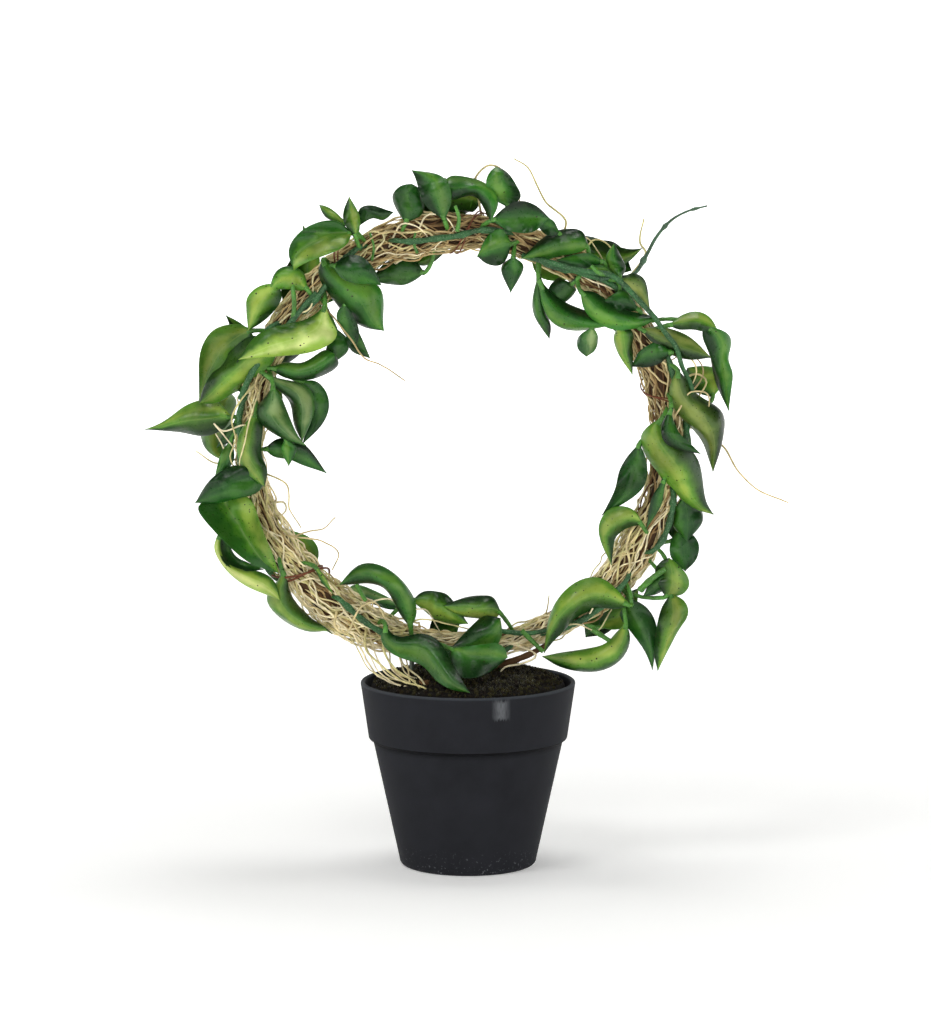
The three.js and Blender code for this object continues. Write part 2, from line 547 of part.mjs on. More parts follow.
// A leaf as rows of left edge, midrib and right edge: its stalk, from the stem, and then its blade
function leafNet(leaf, stem, place, swell) {
  const lines = leafLines(leaf);
  const rows = leaf[3].length + (leaf[3].length > 2 ? 2 : 1);
  const net = [];
  for (let i = 0; i <= rows; i += 1) {
    const [left, middle, right] = lines.map((line) => line.getPoint(i / rows));
    const first = lines.map((line) => line.getPoint(1 / rows));
    if (i === 0) {
      const over = first[2].sub(first[0]).setLength(STALK.width);
      left.sub(over);
      right.add(over);
    }
    if (i === rows) {
      for (const p of [left, middle, right]) p.addScaledVector(lines[1].getTangent(1), swell);
    } else {
      const grown = right.clone().sub(left).setLength(swell);
      left.sub(grown);
      right.add(grown);
    }
    const places = [left, middle, right].map((p) => clearOfBundle(place(p), GAP + BLADE.middle + swell));
    net.push({ places, middle: i === 0 ? STALK.thick : BLADE.middle / 2, edge: BLADE.edge / 2 });
  }
  return [...stalkRows(stem, net[0].places, swell), ...net];
}

// The stalk's rows: from inside the stem, round the bundle's surface, towards the foot of the blade
function stalkRows(stem, [left, foot, right], swell) {
  const near = stem.reduce((best, p) => (p.distanceTo(foot) < best.distanceTo(foot) ? p : best));
  const [from, to] = [hoopPlace(near), hoopPlace(foot)];
  const turn = from.turn + wrapped(to.turn - from.turn) / 2;
  const around = from.around + wrapped(to.around - from.around) / 2;
  const out = Math.max((from.out + to.out) / 2, bundleHalf(turn) + GAP + STALK.thick + 0.8);
  const way = [near, onHoop(turn, around, out), foot];
  const over = right.clone().sub(left);
  return [0, 1].map((i) => {
    const along = way[i + 1].clone().sub(way[Math.max(i - 1, 0)]).normalize();
    const side = over.clone().addScaledVector(along, -over.dot(along)).setLength(STALK.width + swell);
    return {
      places: [way[i].clone().sub(side), way[i].clone(), way[i].clone().add(side)],
      middle: STALK.thick, edge: STALK.thick / 2,
    };
  });
}

// Rows of points as a closed blade, its two faces split into triangles alike
function thickened(net, swell) {
  const rows = net.length - 1;
  const across = 2;
  const [faces, places] = [[], [[], []]];
  for (let i = 0; i <= rows; i += 1) {
    for (let j = 0; j <= across; j += 1) {
      const atTip = i === rows;
      const [k, m] = atTip ? [rows - 1, 1] : [i, j];
      const along = net[k + 1].places[m].clone().sub(net[Math.max(k - 1, 0)].places[m]);
      const over = net[k].places[Math.min(m + 1, across)].clone().sub(net[k].places[Math.max(m - 1, 0)]);
      const half = (j === 1 && !atTip ? net[i].middle : net[i].edge) + swell;
      const normal = along.cross(over).setLength(half);
      places[0].push(net[i].places[j].clone().add(normal));
      places[1].push(net[i].places[j].clone().sub(normal));
    }
  }
  const size = places[0].length;
  const quad = (a, b, c, d) => faces.push(a, b, c, a, c, d);
  const at = (i, j, side) => side * size + i * (across + 1) + j;
  for (let i = 0; i < rows; i += 1) {
    for (let j = 0; j < across; j += 1) {
      const [a, b, c, d] = [at(i, j, 0), at(i, j + 1, 0), at(i + 1, j + 1, 0), at(i + 1, j, 0)];
      faces.push(a, b, c, a, c, d, size + a, size + c, size + b, size + a, size + d, size + c);
    }
    quad(at(i, 0, 0), at(i + 1, 0, 0), at(i + 1, 0, 1), at(i, 0, 1));
    quad(at(i, across, 0), at(i, across, 1), at(i + 1, across, 1), at(i + 1, across, 0));
  }
  for (let j = 0; j < across; j += 1) {
    quad(at(0, j, 0), at(0, j, 1), at(0, j + 1, 1), at(0, j + 1, 0));
    quad(at(rows, j, 0), at(rows, j + 1, 0), at(rows, j + 1, 1), at(rows, j, 1));
  }
  return meshOf([...places[0], ...places[1]], faces);
}

// Points along a stem, which lies on the bundle's surface
function stemPoints(stem) {
  const way = new THREE.CatmullRomCurve3(stem.map(([turn, around]) => new THREE.Vector3(turn, around, 0)));
  const points = [];
  const count = (stem.length - 1) * 3;
  for (let i = 0; i <= count; i += 1) {
    const { x: turn, y: around } = way.getPoint(i / count);
    points.push(onHoop(turn, around, STEM.seat * bundleHalf(turn) + GAP + STEM.radius + STEM.knot));
  }
  return points;
}

// A stem with its stalks and leaves, fused; swollen by a margin to cut its neighbours clear
function leafyStem(vine, swell) {
  const stem = stemPoints(vine.stem);
  const knot = (share) => STEM.knot * Math.cos(2 * Math.PI * vine.stem.length * share);
  const knots = (share) => STEM.radius + knot(share) + swell;
  const solids = [solidOf(limb(stem, knots, stem.length - 1, STEM.sides))];
  for (const leaf of vine.leaves) {
    solids.push(solidOf(thickened(leafNet(leaf, stem, (p) => p, swell), swell)));
  }
  for (const [source, name, turned] of FAR_SIDE[vine.name] ?? []) {
    const leaf = FOLIAGE.find((other) => other.name === source).leaves.find(([own]) => own === name);
    const place = (p) => {
      const at = hoopPlace(p);
      return onHoop(at.turn + turned, -at.around, at.out);
    };
    solids.push(solidOf(thickened(leafNet(leaf, stem, place, swell), swell)));
  }
  if (vine.twig) {
    const twig = vine.twig.map((p) => seen(...p));
    const bulge = (share) => TWIG.knot * Math.max(0, Math.cos(TWIG.knots * share)) ** 4;
    const joints = (share) => THREE.MathUtils.lerp(TWIG.radius, TWIG.tip, share) + bulge(share) + swell;
    solids.push(solidOf(limb([stem[4], ...twig], joints, TWIG.steps, TWIG.sides)));
  }
  return joined(solids);
}

function wirePath() {
  const points = [];
  const [from, to] = [WIRE.legFrom, WIRE.legTo];
  const foot = onHoop(from, 0, 0);
  const end = onHoop(to, 0, 0);
  points.push(new THREE.Vector3(foot.x, 0, WIRE.legFoot));
  points.push(new THREE.Vector3(foot.x, 0, foot.z - 2 * WIRE.bend));
  points.push(new THREE.Vector3(foot.x - 0.5, 0, foot.z - WIRE.bend));
  for (let i = 0; i <= WIRE.arcPoints; i += 1) {
    points.push(onHoop(THREE.MathUtils.lerp(from - WIRE.blend, to + WIRE.blend, i / WIRE.arcPoints), 0, 0));
  }
  points.push(new THREE.Vector3(end.x + 0.5, 0, end.z - WIRE.bend));
  points.push(new THREE.Vector3(end.x, 0, end.z - 2 * WIRE.bend), new THREE.Vector3(end.x, 0, WIRE.legFoot));
  return new THREE.CatmullRomCurve3(points, false, 'centripetal');
}

function wire(swell) {
  const radius = WIRE.radius + swell;
  const outline = new THREE.Shape();
  for (let j = 0; j < WIRE.sides; j += 1) {
    const turn = (2 * Math.PI * j) / WIRE.sides;
    const [x, y] = [radius * Math.cos(turn), radius * Math.sin(turn)];
    if (j === 0) outline.moveTo(x, y);
    else outline.lineTo(x, y);
  }
  return new THREE.ExtrudeGeometry(outline, { steps: WIRE.steps, extrudePath: wirePath() });
}

// The rope-like ring of roots: strands stand out as ridges that wind along the hoop
function bundleRing(swell) {
  const sides = 2 * BUNDLE.strands;
  const ring = new THREE.TorusGeometry(HOOP.radius, 1, sides, BUNDLE.steps);
  const p = ring.attributes.position;
  for (let j = 0; j <= sides; j += 1) {
    for (let i = 0; i <= BUNDLE.steps; i += 1) {
      const turn = (360 * i) / BUNDLE.steps;
      const around = (360 * j) / sides + (360 * BUNDLE.twist * i) / (BUNDLE.strands * BUNDLE.steps);
      const wander = BUNDLE.wander * (Math.sin(radians(BUNDLE.strands * turn + around)) - 1);
      const groove = j % 2 ? BUNDLE.groove : 0;
      const half = bundleHalf(turn) * (1 - groove + wander) + swell;
      p.setXYZ(j * (BUNDLE.steps + 1) + i, ...onHoop(turn, around, half).toArray());
    }
  }
  return closedRing(p, sides, BUNDLE.steps, BUNDLE.twist * 2);
}

// The faces of a ring whose sections are shifted by some sides where it closes
function closedRing(p, sides, steps, shift) {
  const places = [];
  const faces = [];
  for (let i = 0; i < steps; i += 1) {
    for (let j = 0; j < sides; j += 1) {
      places.push(new THREE.Vector3().fromBufferAttribute(p, j * (steps + 1) + i));
      const last = i + 1 === steps;
      const side = (k) => (k + (last ? shift : 0)) % sides;
      const [a, b] = [i * sides + j, i * sides + ((j + 1) % sides)];
      const row = ((i + 1) % steps) * sides;
      const [d, c] = [row + side(j), row + side(j + 1)];
      faces.push(a, b, c, a, c, d);
    }
  }
  return meshOf(places, faces);
}

// A loose root: its first point, and its last where it ends near the bundle, are sunk into the bundle
function rootStrand(points, swell) {
  const places = points.map((p) => seen(...p));
  for (const end of [0, places.length - 1]) {
    const at = hoopPlace(places[end]);
    const half = bundleHalf(at.turn);
    if (end === 0 || at.out < half + 2) places[end] = onHoop(at.turn, at.around, 0.55 * half);
  }
  const taper = (share) => STRAND.radius * (1 - 0.2 * share) + swell;
  return limb(places, taper, (points.length - 1) * 2, STRAND.sides);
}

// A tie is a bit more than one turn of wire, its ends crossed on the front
function tie(turn, slant, swell) {
  const points = [];
  for (let i = 0; i <= TIE.steps; i += 1) {
    const at = turn + slant * (i / TIE.steps - 0.5);
    const over = TIE.stride * i > 360 ? 1.9 * TIE.radius : 0;
    points.push(onHoop(at, TIE.from + TIE.stride * i, bundleHalf(at) + TIE.lift + over));
  }
  return limb(points, () => TIE.radius + swell, TIE.steps, TIE.sides);
}

function potProfile() {
  const { rim, height, bandFoot, bandRadius, body, foot, footRound } = POT;
  const { wall, lip, floor, ringIn, pad, recess } = POT;
  const inner = (z) => THREE.MathUtils.lerp(foot, body, z / bandFoot) - wall;
  const round = [];
  for (let i = 0; i <= 2; i += 1) {
    const turn = (Math.PI / 2) * (i / 2);
    round.push([foot - footRound * (1 - Math.sin(turn)), footRound * (1 - Math.cos(turn))]);
  }
  return [
    [0, 0], [pad, 0], [pad + 1, recess], [ringIn, recess], [ringIn + 1, 0], ...round,
    [body, bandFoot - 1.5], [bandRadius, bandFoot], [rim, height - 0.7], [rim - 0.8, height],
    [rim - lip, height],
    [bandRadius - wall, bandFoot + 3], [inner(bandFoot), bandFoot], [inner(floor), floor], [0, floor],
  ].map(([x, y]) => new THREE.Vector2(x, y));
}

function turned(profile, sides) {
  return new THREE.LatheGeometry(profile, sides).rotateX(Math.PI / 2);
}

function pot() {
  let solid = solidOf(turned(potProfile(), POT.sides));
  for (let i = 0; i < DRAIN.count; i += 1) {
    const turn = (2 * Math.PI * i) / DRAIN.count;
    const hole = new THREE.CylinderGeometry(DRAIN.radius, DRAIN.radius, 3 * POT.floor, DRAIN.sides)
      .rotateX(Math.PI / 2)
      .translate(DRAIN.orbit * Math.cos(turn), DRAIN.orbit * Math.sin(turn), POT.floor / 2);
    solid = solid.subtract(solidOf(hole));
  }
  return solid;
}

// Soil: fills the pot and heaps over the rim, with lumps by a formula
function soil() {
  const inner = (z) => THREE.MathUtils.lerp(POT.foot, POT.body, z / POT.bandFoot) - POT.wall - GAP;
  const wallTop = POT.bandRadius - POT.wall - GAP;
  const profile = [
    [0, POT.floor + GAP], [inner(POT.floor), POT.floor + GAP], [inner(POT.bandFoot), POT.bandFoot],
    [wallTop, POT.bandFoot + 6], [wallTop + SOIL.flare, SOIL.edge],
  ];
  for (let i = 1; i <= SOIL.rings; i += 1) {
    const share = i / SOIL.rings;
    const height = SOIL.edge + (SOIL.crown - SOIL.edge) * Math.sin((Math.PI / 2) * share ** 0.55);
    profile.push([(wallTop + SOIL.flare) * (1 - share), height]);
  }
  const heap = turned(profile.map(([x, y]) => new THREE.Vector2(x, y)), POT.sides);
  const p = heap.attributes.position;
  for (let i = 0; i < p.count; i += 1) {
    const [x, y, z] = [p.getX(i), p.getY(i), p.getZ(i)];
    if (z <= SOIL.edge + 1) continue;
    p.setZ(i, z + SOIL.lump * (Math.sin(x / 4.1 + 1) * Math.cos(y / 3.7) + 0.6 * Math.sin((x - y) / 2.6)));
  }
  return solidOf(heap);
}

function named(name, solid, kind) {
  const mesh = new THREE.Mesh(geometryOf(solid), finish(kind));
  mesh.name = name;
  return mesh;
}

function build() {
  const group = new THREE.Group();
  const foliage = [];
  let taken = joined(TIES.map(([, turn, slant]) => solidOf(tie(turn, slant, GAP))));
  const strands = LOOSE_ROOTS.map((points) => solidOf(rootStrand(points, 0)));
  const wideStrands = joined(LOOSE_ROOTS.map((points) => solidOf(rootStrand(points, GAP))));
  taken = taken.add(solidOf(bundleRing(GAP))).add(wideStrands);
  for (const vine of FOLIAGE) {
    const leafy = mainBody(leafyStem(vine, 0).subtract(taken));
    foliage.push([vine.name, leafy]);
    taken = taken.add(leafyStem(vine, GAP));
  }
  const roots = mainBody(joined([solidOf(bundleRing(0)), ...strands]).subtract(solidOf(wire(GAP))));
  const ground = [wideStrands, solidOf(wire(GAP)), ...FOLIAGE.map((vine) => leafyStem(vine, GAP))];
  const earth = mainBody(soil().subtract(joined(ground)));
  group.add(named('pot', pot(), 'pot'), named('soil', earth, 'soil'));
  group.add(named('hoop_wire', solidOf(wire(0)), 'wire'), named('root_bundle', roots, 'roots'));
  for (const [name, turn, slant] of TIES) group.add(named(name, solidOf(tie(turn, slant, 0)), 'tie'));
  for (const [name, solid] of foliage) group.add(named(name, solid, 'leaf'));
  return group;
}

export default build();
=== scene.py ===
"""A potted hoya trained round a hoop of air roots: the looks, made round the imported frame.

Sizes in the tables are millimetres in the part's own frame, +Z up with the front towards -Y. Meshes are
in metres, because the frame is.
"""
import logging
import math
from collections.abc import Callable, Iterable, Sequence
from dataclasses import dataclass, field
from enum import Enum
from functools import partial
from typing import Any

import bmesh
import bpy
import numpy as np
from bpy.types import Material, Mesh, Node, NodeSocket, NodeTree, Object
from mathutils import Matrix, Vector, noise


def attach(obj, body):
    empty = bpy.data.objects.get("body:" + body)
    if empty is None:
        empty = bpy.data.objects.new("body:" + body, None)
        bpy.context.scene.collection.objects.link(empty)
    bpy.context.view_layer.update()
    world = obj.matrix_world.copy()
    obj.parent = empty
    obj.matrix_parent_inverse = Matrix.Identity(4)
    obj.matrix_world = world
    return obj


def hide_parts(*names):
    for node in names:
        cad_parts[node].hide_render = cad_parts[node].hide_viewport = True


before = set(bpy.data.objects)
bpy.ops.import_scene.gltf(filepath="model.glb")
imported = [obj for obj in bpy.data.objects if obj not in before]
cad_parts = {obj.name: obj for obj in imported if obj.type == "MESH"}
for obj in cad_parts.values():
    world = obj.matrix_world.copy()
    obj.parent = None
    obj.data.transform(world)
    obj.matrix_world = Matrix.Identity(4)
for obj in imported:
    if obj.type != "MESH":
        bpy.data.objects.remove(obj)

log = logging.getLogger("potted_hoya")

MM = 0.001
ROOT_BODY = "root"
BLADE_UV = "blade"
THICK = "thick"
TINT = "tint"
LOOSE = "loose"

# What Blender's names for nodes start with, in trees for materials and in trees for geometry
FAMILIES = {"SHADER": ("ShaderNode",), "GEOMETRY": ("GeometryNode", "FunctionNode", "ShaderNode", "")}
# Share of the bundle's half thickness at which stalks and loose roots start, in among the woven ones
ROOTED = 0.55
# The heap of soil: its rim's radius, and its height there and how much higher its middle is
SOIL_RIM = 54.65
SOIL_EDGE = 100.0
SOIL_RISE = 11.0

Array = np.ndarray
Place = Callable[[Array], Array]
Adder = Callable[..., Node]
Pair = tuple[float, float]
Point = tuple[float, float, float]
Way = tuple[Point, ...]
Faces = list[tuple[int, ...]]


def linear(colour: str) -> tuple[float, float, float, float]:
    """Turns a colour from sRGB to linear.

    Args:
        colour: The colour as a hex string, such as "#3f7d2c".

    Returns:
        Linear red, green, blue and an alpha of 1.
    """
    parts = [int(colour[i:i + 2], 16) / 255 for i in (1, 3, 5)]
    red, green, blue = (p / 12.92 if p <= 0.04045 else ((p + 0.055) / 1.055) ** 2.4 for p in parts)
    return red, green, blue, 1.0


def per_metre(size: float) -> float:
    """Gives a pattern's scale, for coordinates in metres, from the size of its features in millimetres."""
    return 1.0 / (size * MM)


def feed(node: Node, inputs: dict[str | int, Any]) -> None:
    """Sets a node's inputs.

    Args:
        node: The node.
        inputs: What goes into each input socket: a value, an output socket to link from, or a node, which
            gives the first output that its settings leave in use.
    """
    for name, value in inputs.items():
        if isinstance(value, Node):
            value = next(socket for socket in value.outputs if socket.enabled)
        if isinstance(value, NodeSocket):
            node.id_data.links.new(value, node.inputs[name])
        else:
            node.inputs[name].default_value = value


def add_node(
    tree: NodeTree, kind: str, inputs: dict[str | int, Any] | None = None,
    stops: Sequence[tuple[float, str]] = (), **settings: Any,
) -> Node:
    """Adds one node with its settings, its input values and its incoming links.

    Args:
        tree: The tree that gets the node.
        kind: The kind of node, without the family that starts Blender's name for it.
        inputs: What goes into its input sockets, as feed takes it.
        stops: The places and colours of a ramp, from its first to its last.
        settings: Values of the node's own properties.

    Returns:
        The new node.
    """
    names = [family + kind for family in FAMILIES[tree.type]]
    node = tree.nodes.new(next(name for name in names if hasattr(bpy.types, name)))
    for name, value in settings.items():
        setattr(node, name, value)
    for share, _ in stops[1:-1]:
        node.color_ramp.elements.new(share)
    if stops:
        for stop, (share, colour) in zip(node.color_ramp.elements, stops):
            stop.position, stop.color = share, linear(colour)
    feed(node, inputs or {})
    return node


def limits(low: float, high: float, start: float = 0.0, end: float = 1.0) -> dict[str, float]:
    """Gives the inputs that turn the values from low to high into those from start to end."""
    return {"From Min": low, "From Max": high, "To Min": start, "To Max": end}


def blend(share: Any, below: Any, above: Any) -> dict[int, Any]:
    """Gives the inputs of a colour mix, by number, because its sockets for plain numbers share the names.

    Args:
        share: How much of the upper colour shows.
        below: The lower colour, as an input or a hex string.
        above: The upper colour, as an input or a hex string.

    Returns:
        What goes into its sockets.
    """
    below, above = (linear(colour) if isinstance(colour, str) else colour for colour in (below, above))
    return {0: share, 6: below, 7: above}


class Spline:
    """A centripetal Catmull-Rom curve through points, the same as the one the solids follow."""

    def __init__(self, points: Sequence[Sequence[float]]) -> None:
        """Keeps the points with one more beyond each end.

        Args:
            points: The points that the curve passes through.
        """
        inner = np.asarray(points, float)
        self.spans = len(inner) - 1
        self.padded = np.vstack([2 * inner[0] - inner[1], inner, 2 * inner[-1] - inner[-2]])

    def at(self, shares: Iterable[float]) -> Array:
        """Gives the places at shares of the way, with the same share between each two points.

        Args:
            shares: Numbers from 0 to 1.

        Returns:
            One row for each share.
        """
        way = np.clip(np.asarray(shares, float), 0, 1) * self.spans
        span = np.minimum(way.astype(int), self.spans - 1)
        w = (way - span)[:, None]
        x0, x1, x2, x3 = (self.padded[span + k] for k in range(4))
        pairs = ((x0, x1), (x1, x2), (x2, x3))
        d0, d1, d2 = (np.linalg.norm(b - a, axis=1)[:, None] ** 0.5 for a, b in pairs)
        d1 = np.where(d1 < 1e-4, 1.0, d1)
        d0 = np.where(d0 < 1e-4, d1, d0)
        d2 = np.where(d2 < 1e-4, d1, d2)
        start = ((x1 - x0) / d0 - (x2 - x0) / (d0 + d1) + (x2 - x1) / d1) * d1
        end = ((x2 - x1) / d1 - (x3 - x1) / (d1 + d2) + (x3 - x2) / d2) * d1
        square = -3 * x1 + 3 * x2 - 2 * start - end
        cube = 2 * x1 - 2 * x2 + start + end
        return x1 + start * w + square * w ** 2 + cube * w ** 3


@dataclass(frozen=True)
class Hoop:
    """The hoop that everything is wound round: a ring of roots in the plane y = 0.

    Turns are degrees round the hoop from +X towards +Z. Around is degrees round the bundle, 0 outwards and
    90 in front. Out is the distance from the hoop's centre line.
    """

    x: float = -5.0
    z: float = 239.0
    radius: float = 116.0
    halves: tuple[Pair, ...] = (
        (-8, 9.5), (15, 9.8), (45, 9), (75, 9.5), (104, 12.5), (125, 10), (150, 8.5), (172, 8), (193, 7.5),
        (217, 11.5), (240, 13.5), (262, 8.5), (284, 6.5), (306, 9), (331, 12.5), (352, 9.5),
    )

    def place(self, turn: Any, around: Any, out: Any) -> Array:
        """Gives places by how they lie on the hoop.

        Args:
            turn: Degrees round the hoop.
            around: Degrees round the bundle.
            out: Distance from the centre line.

        Returns:
            The places.
        """
        turn, around, out = np.broadcast_arrays(*(np.asarray(v, float) for v in (turn, around, out)))
        reach = self.radius + out * np.cos(np.radians(around))
        return np.stack([
            self.x + reach * np.cos(np.radians(turn)),
            -out * np.sin(np.radians(around)),
            self.z + reach * np.sin(np.radians(turn)),
        ], axis=-1)

    def locate(self, places: Array) -> tuple[Array, Array, Array]:
        """Gives how places lie on the hoop.

        Args:
            places: The places.

        Returns:
            The turn, the degrees around and the distance out of each.
        """
        across = np.hypot(places[..., 0] - self.x, places[..., 2] - self.z) - self.radius
        turn = np.degrees(np.arctan2(places[..., 2] - self.z, places[..., 0] - self.x))
        around = np.degrees(np.arctan2(-places[..., 1], across))
        return turn, around, np.hypot(across, places[..., 1])

    def half(self, turn: Any) -> Array:
        """Gives the bundle's half thickness at turns round the hoop.

        Args:
            turn: Degrees round the hoop.

        Returns:
            Half the thickness at each.
        """
        turns = np.array([t for t, _ in self.halves])
        sizes = np.array([h for _, h in self.halves])
        at = np.mod(np.asarray(turn, float) - turns[0], 360.0) + turns[0]
        i = np.clip(np.searchsorted(turns, at, side="right") - 1, 0, len(turns) - 2)
        share = np.clip((at - turns[i]) / (turns[i + 1] - turns[i]), 0, 1)
        return sizes[i] + (sizes[i + 1] - sizes[i]) * share * share * (3 - 2 * share)

    def clear(self, places: Array, margin: float) -> Array:
        """Moves places that would lie in the bundle out to a margin over its surface.

        Args:
            places: The places.
            margin: The distance to keep from the surface.

        Returns:
            The places, moved where they lay deeper.
        """
        turn, around, out = self.locate(places)
        least = self.half(turn) + margin
        return np.where((out < least)[..., None], self.place(turn, around, least), places)


@dataclass(frozen=True)
class Sight:
    """The point in front from which the leaves' outlines were measured, and the view that it gives."""

    x: float = -1.4
    y: float = -2478.6
    z: float = 525.1
    elevation: float = 7.5
    lens: float = 158.1
    sensor: float = 36.0

    def seen(self, x: float, z: float, depth: float) -> Array:
        """Gives the place seen at x and z on the hoop's plane, slid along its line of sight to a depth."""
        share = depth / self.y
        return np.array([x + (self.x - x) * share, depth, z + (self.z - z) * share])


HOOP = Hoop()
SIGHT = Sight()
SEAT_GAP = 0.35


def ring_faces(rows: int, size: int, closed: bool = False) -> Faces:
    """Gives the faces between rings of vertices that follow each other.

    Args:
        rows: The number of rings.
        size: The number of vertices in each.
        closed: Whether the last ring joins the first.

    Returns:
        The vertices of each face.
    """
    return [
        (i * size + k, i * size + (k + 1) % size,
         (i + 1) % rows * size + (k + 1) % size, (i + 1) % rows * size + k)
        for i in range(rows if closed else rows - 1) for k in range(size)
    ]


def turned(profile: Sequence[Pair], sides: int) -> tuple[Array, Faces]:
    """Turns a profile round the upright axis.

    Args:
        profile: The radius and height of each ring. A radius of 0 closes the surface with one point.
        sides: The number of sides of a ring.

    Returns:
        The places, and the faces, which point outwards where the profile runs up an outside.
    """
    turns = np.arange(sides) * math.tau / sides
    points: list[Point] = []
    rows: list[list[int]] = []
    for r, z in profile:
        first = len(points)
        points += [(r * math.cos(a), r * math.sin(a), z) for a in turns] if r else [(0.0, 0.0, z)]
        rows.append([first + k if r else first for k in range(sides)])
    faces = [
        tuple(dict.fromkeys((low[k - 1], low[k], high[k], high[k - 1])))
        for low, high in zip(rows, rows[1:]) for k in range(sides)
    ]
    return np.array(points), faces


class Tone(Enum):
    """How light or dark a leaf is."""

    PALE = "pale"
    LIGHT = "light"
    GREEN = "green"
    OLIVE = "olive"
    GREY = "grey"
    DARK = "dark"


@dataclass(frozen=True)
class LeafPaint:
    """The colours of a leaf: along its midrib, on its blade and at its edge, and how many specks it has."""

    centre: str
    blade: str
    edge: str
    specks: float


PAINTS = {
    Tone.PALE: LeafPaint("#c2cf80", "#8fb045", "#4b8524", 0.42),
    Tone.LIGHT: LeafPaint("#8fa946", "#568929", "#255b18", 0.45),
    Tone.GREEN: LeafPaint("#598531", "#2d681c", "#164714", 0.22),
    Tone.OLIVE: LeafPaint("#8a9849", "#526f29", "#284a1a", 0.62),
    Tone.GREY: LeafPaint("#8ba263", "#4b773a", "#255923", 0.24),
    Tone.DARK: LeafPaint("#386b21", "#1c4f15", "#113811", 0.08),
}


@dataclass(frozen=True)
class Leaf:
    """One leaf as seen from the front: its foot, its stations and its tip.

    A station is left x, left z, right x, right z and depth, with tilt and bow where they aren't 0 and 2. Tilt
    sets the left edge back and the right edge forward. Bow sets both edges back. Crease folds the halves back
    along the midrib, or forward if it is negative, as a share of the width. Dark paints shade on the right
    half, or on the left if it is negative, and moves the pale streak over to the other half.
    """

    name: str
    tone: Tone
    foot: Point
    stations: tuple[tuple[float, ...], ...]
    tip: Point
    crease: float = 0.0
    # Painted shade on one half of the blade: positive for the right half, negative for the left
    dark: float = 0.0

    def lines(self) -> tuple[Spline, Spline, Spline]:
        """Lays the leaf's lines through its stations.

        Returns:
            The left edge, the midrib and the right edge.
        """
        rails = [[SIGHT.seen(*self.foot)] for _ in range(3)]
        for lx, lz, rx, rz, depth, *bend in self.stations:
            tilt, bow = bend or (0, 2)
            rails[0].append(SIGHT.seen(lx, lz, depth + bow + tilt))
            rails[1].append(SIGHT.seen((lx + rx) / 2, (lz + rz) / 2, depth))
            rails[2].append(SIGHT.seen(rx, rz, depth + bow - tilt))
        left, middle, right = (Spline([*rail, SIGHT.seen(*self.tip)]) for rail in rails)
        return left, middle, right


@dataclass(frozen=True)
class VinePlan:
    """One length of vine: where its stem runs round the bundle, its leaves, and a bare twig if it has one."""

    name: str
    stem: tuple[Pair, ...]
    leaves: tuple[Leaf, ...]
    twig: Way = ()


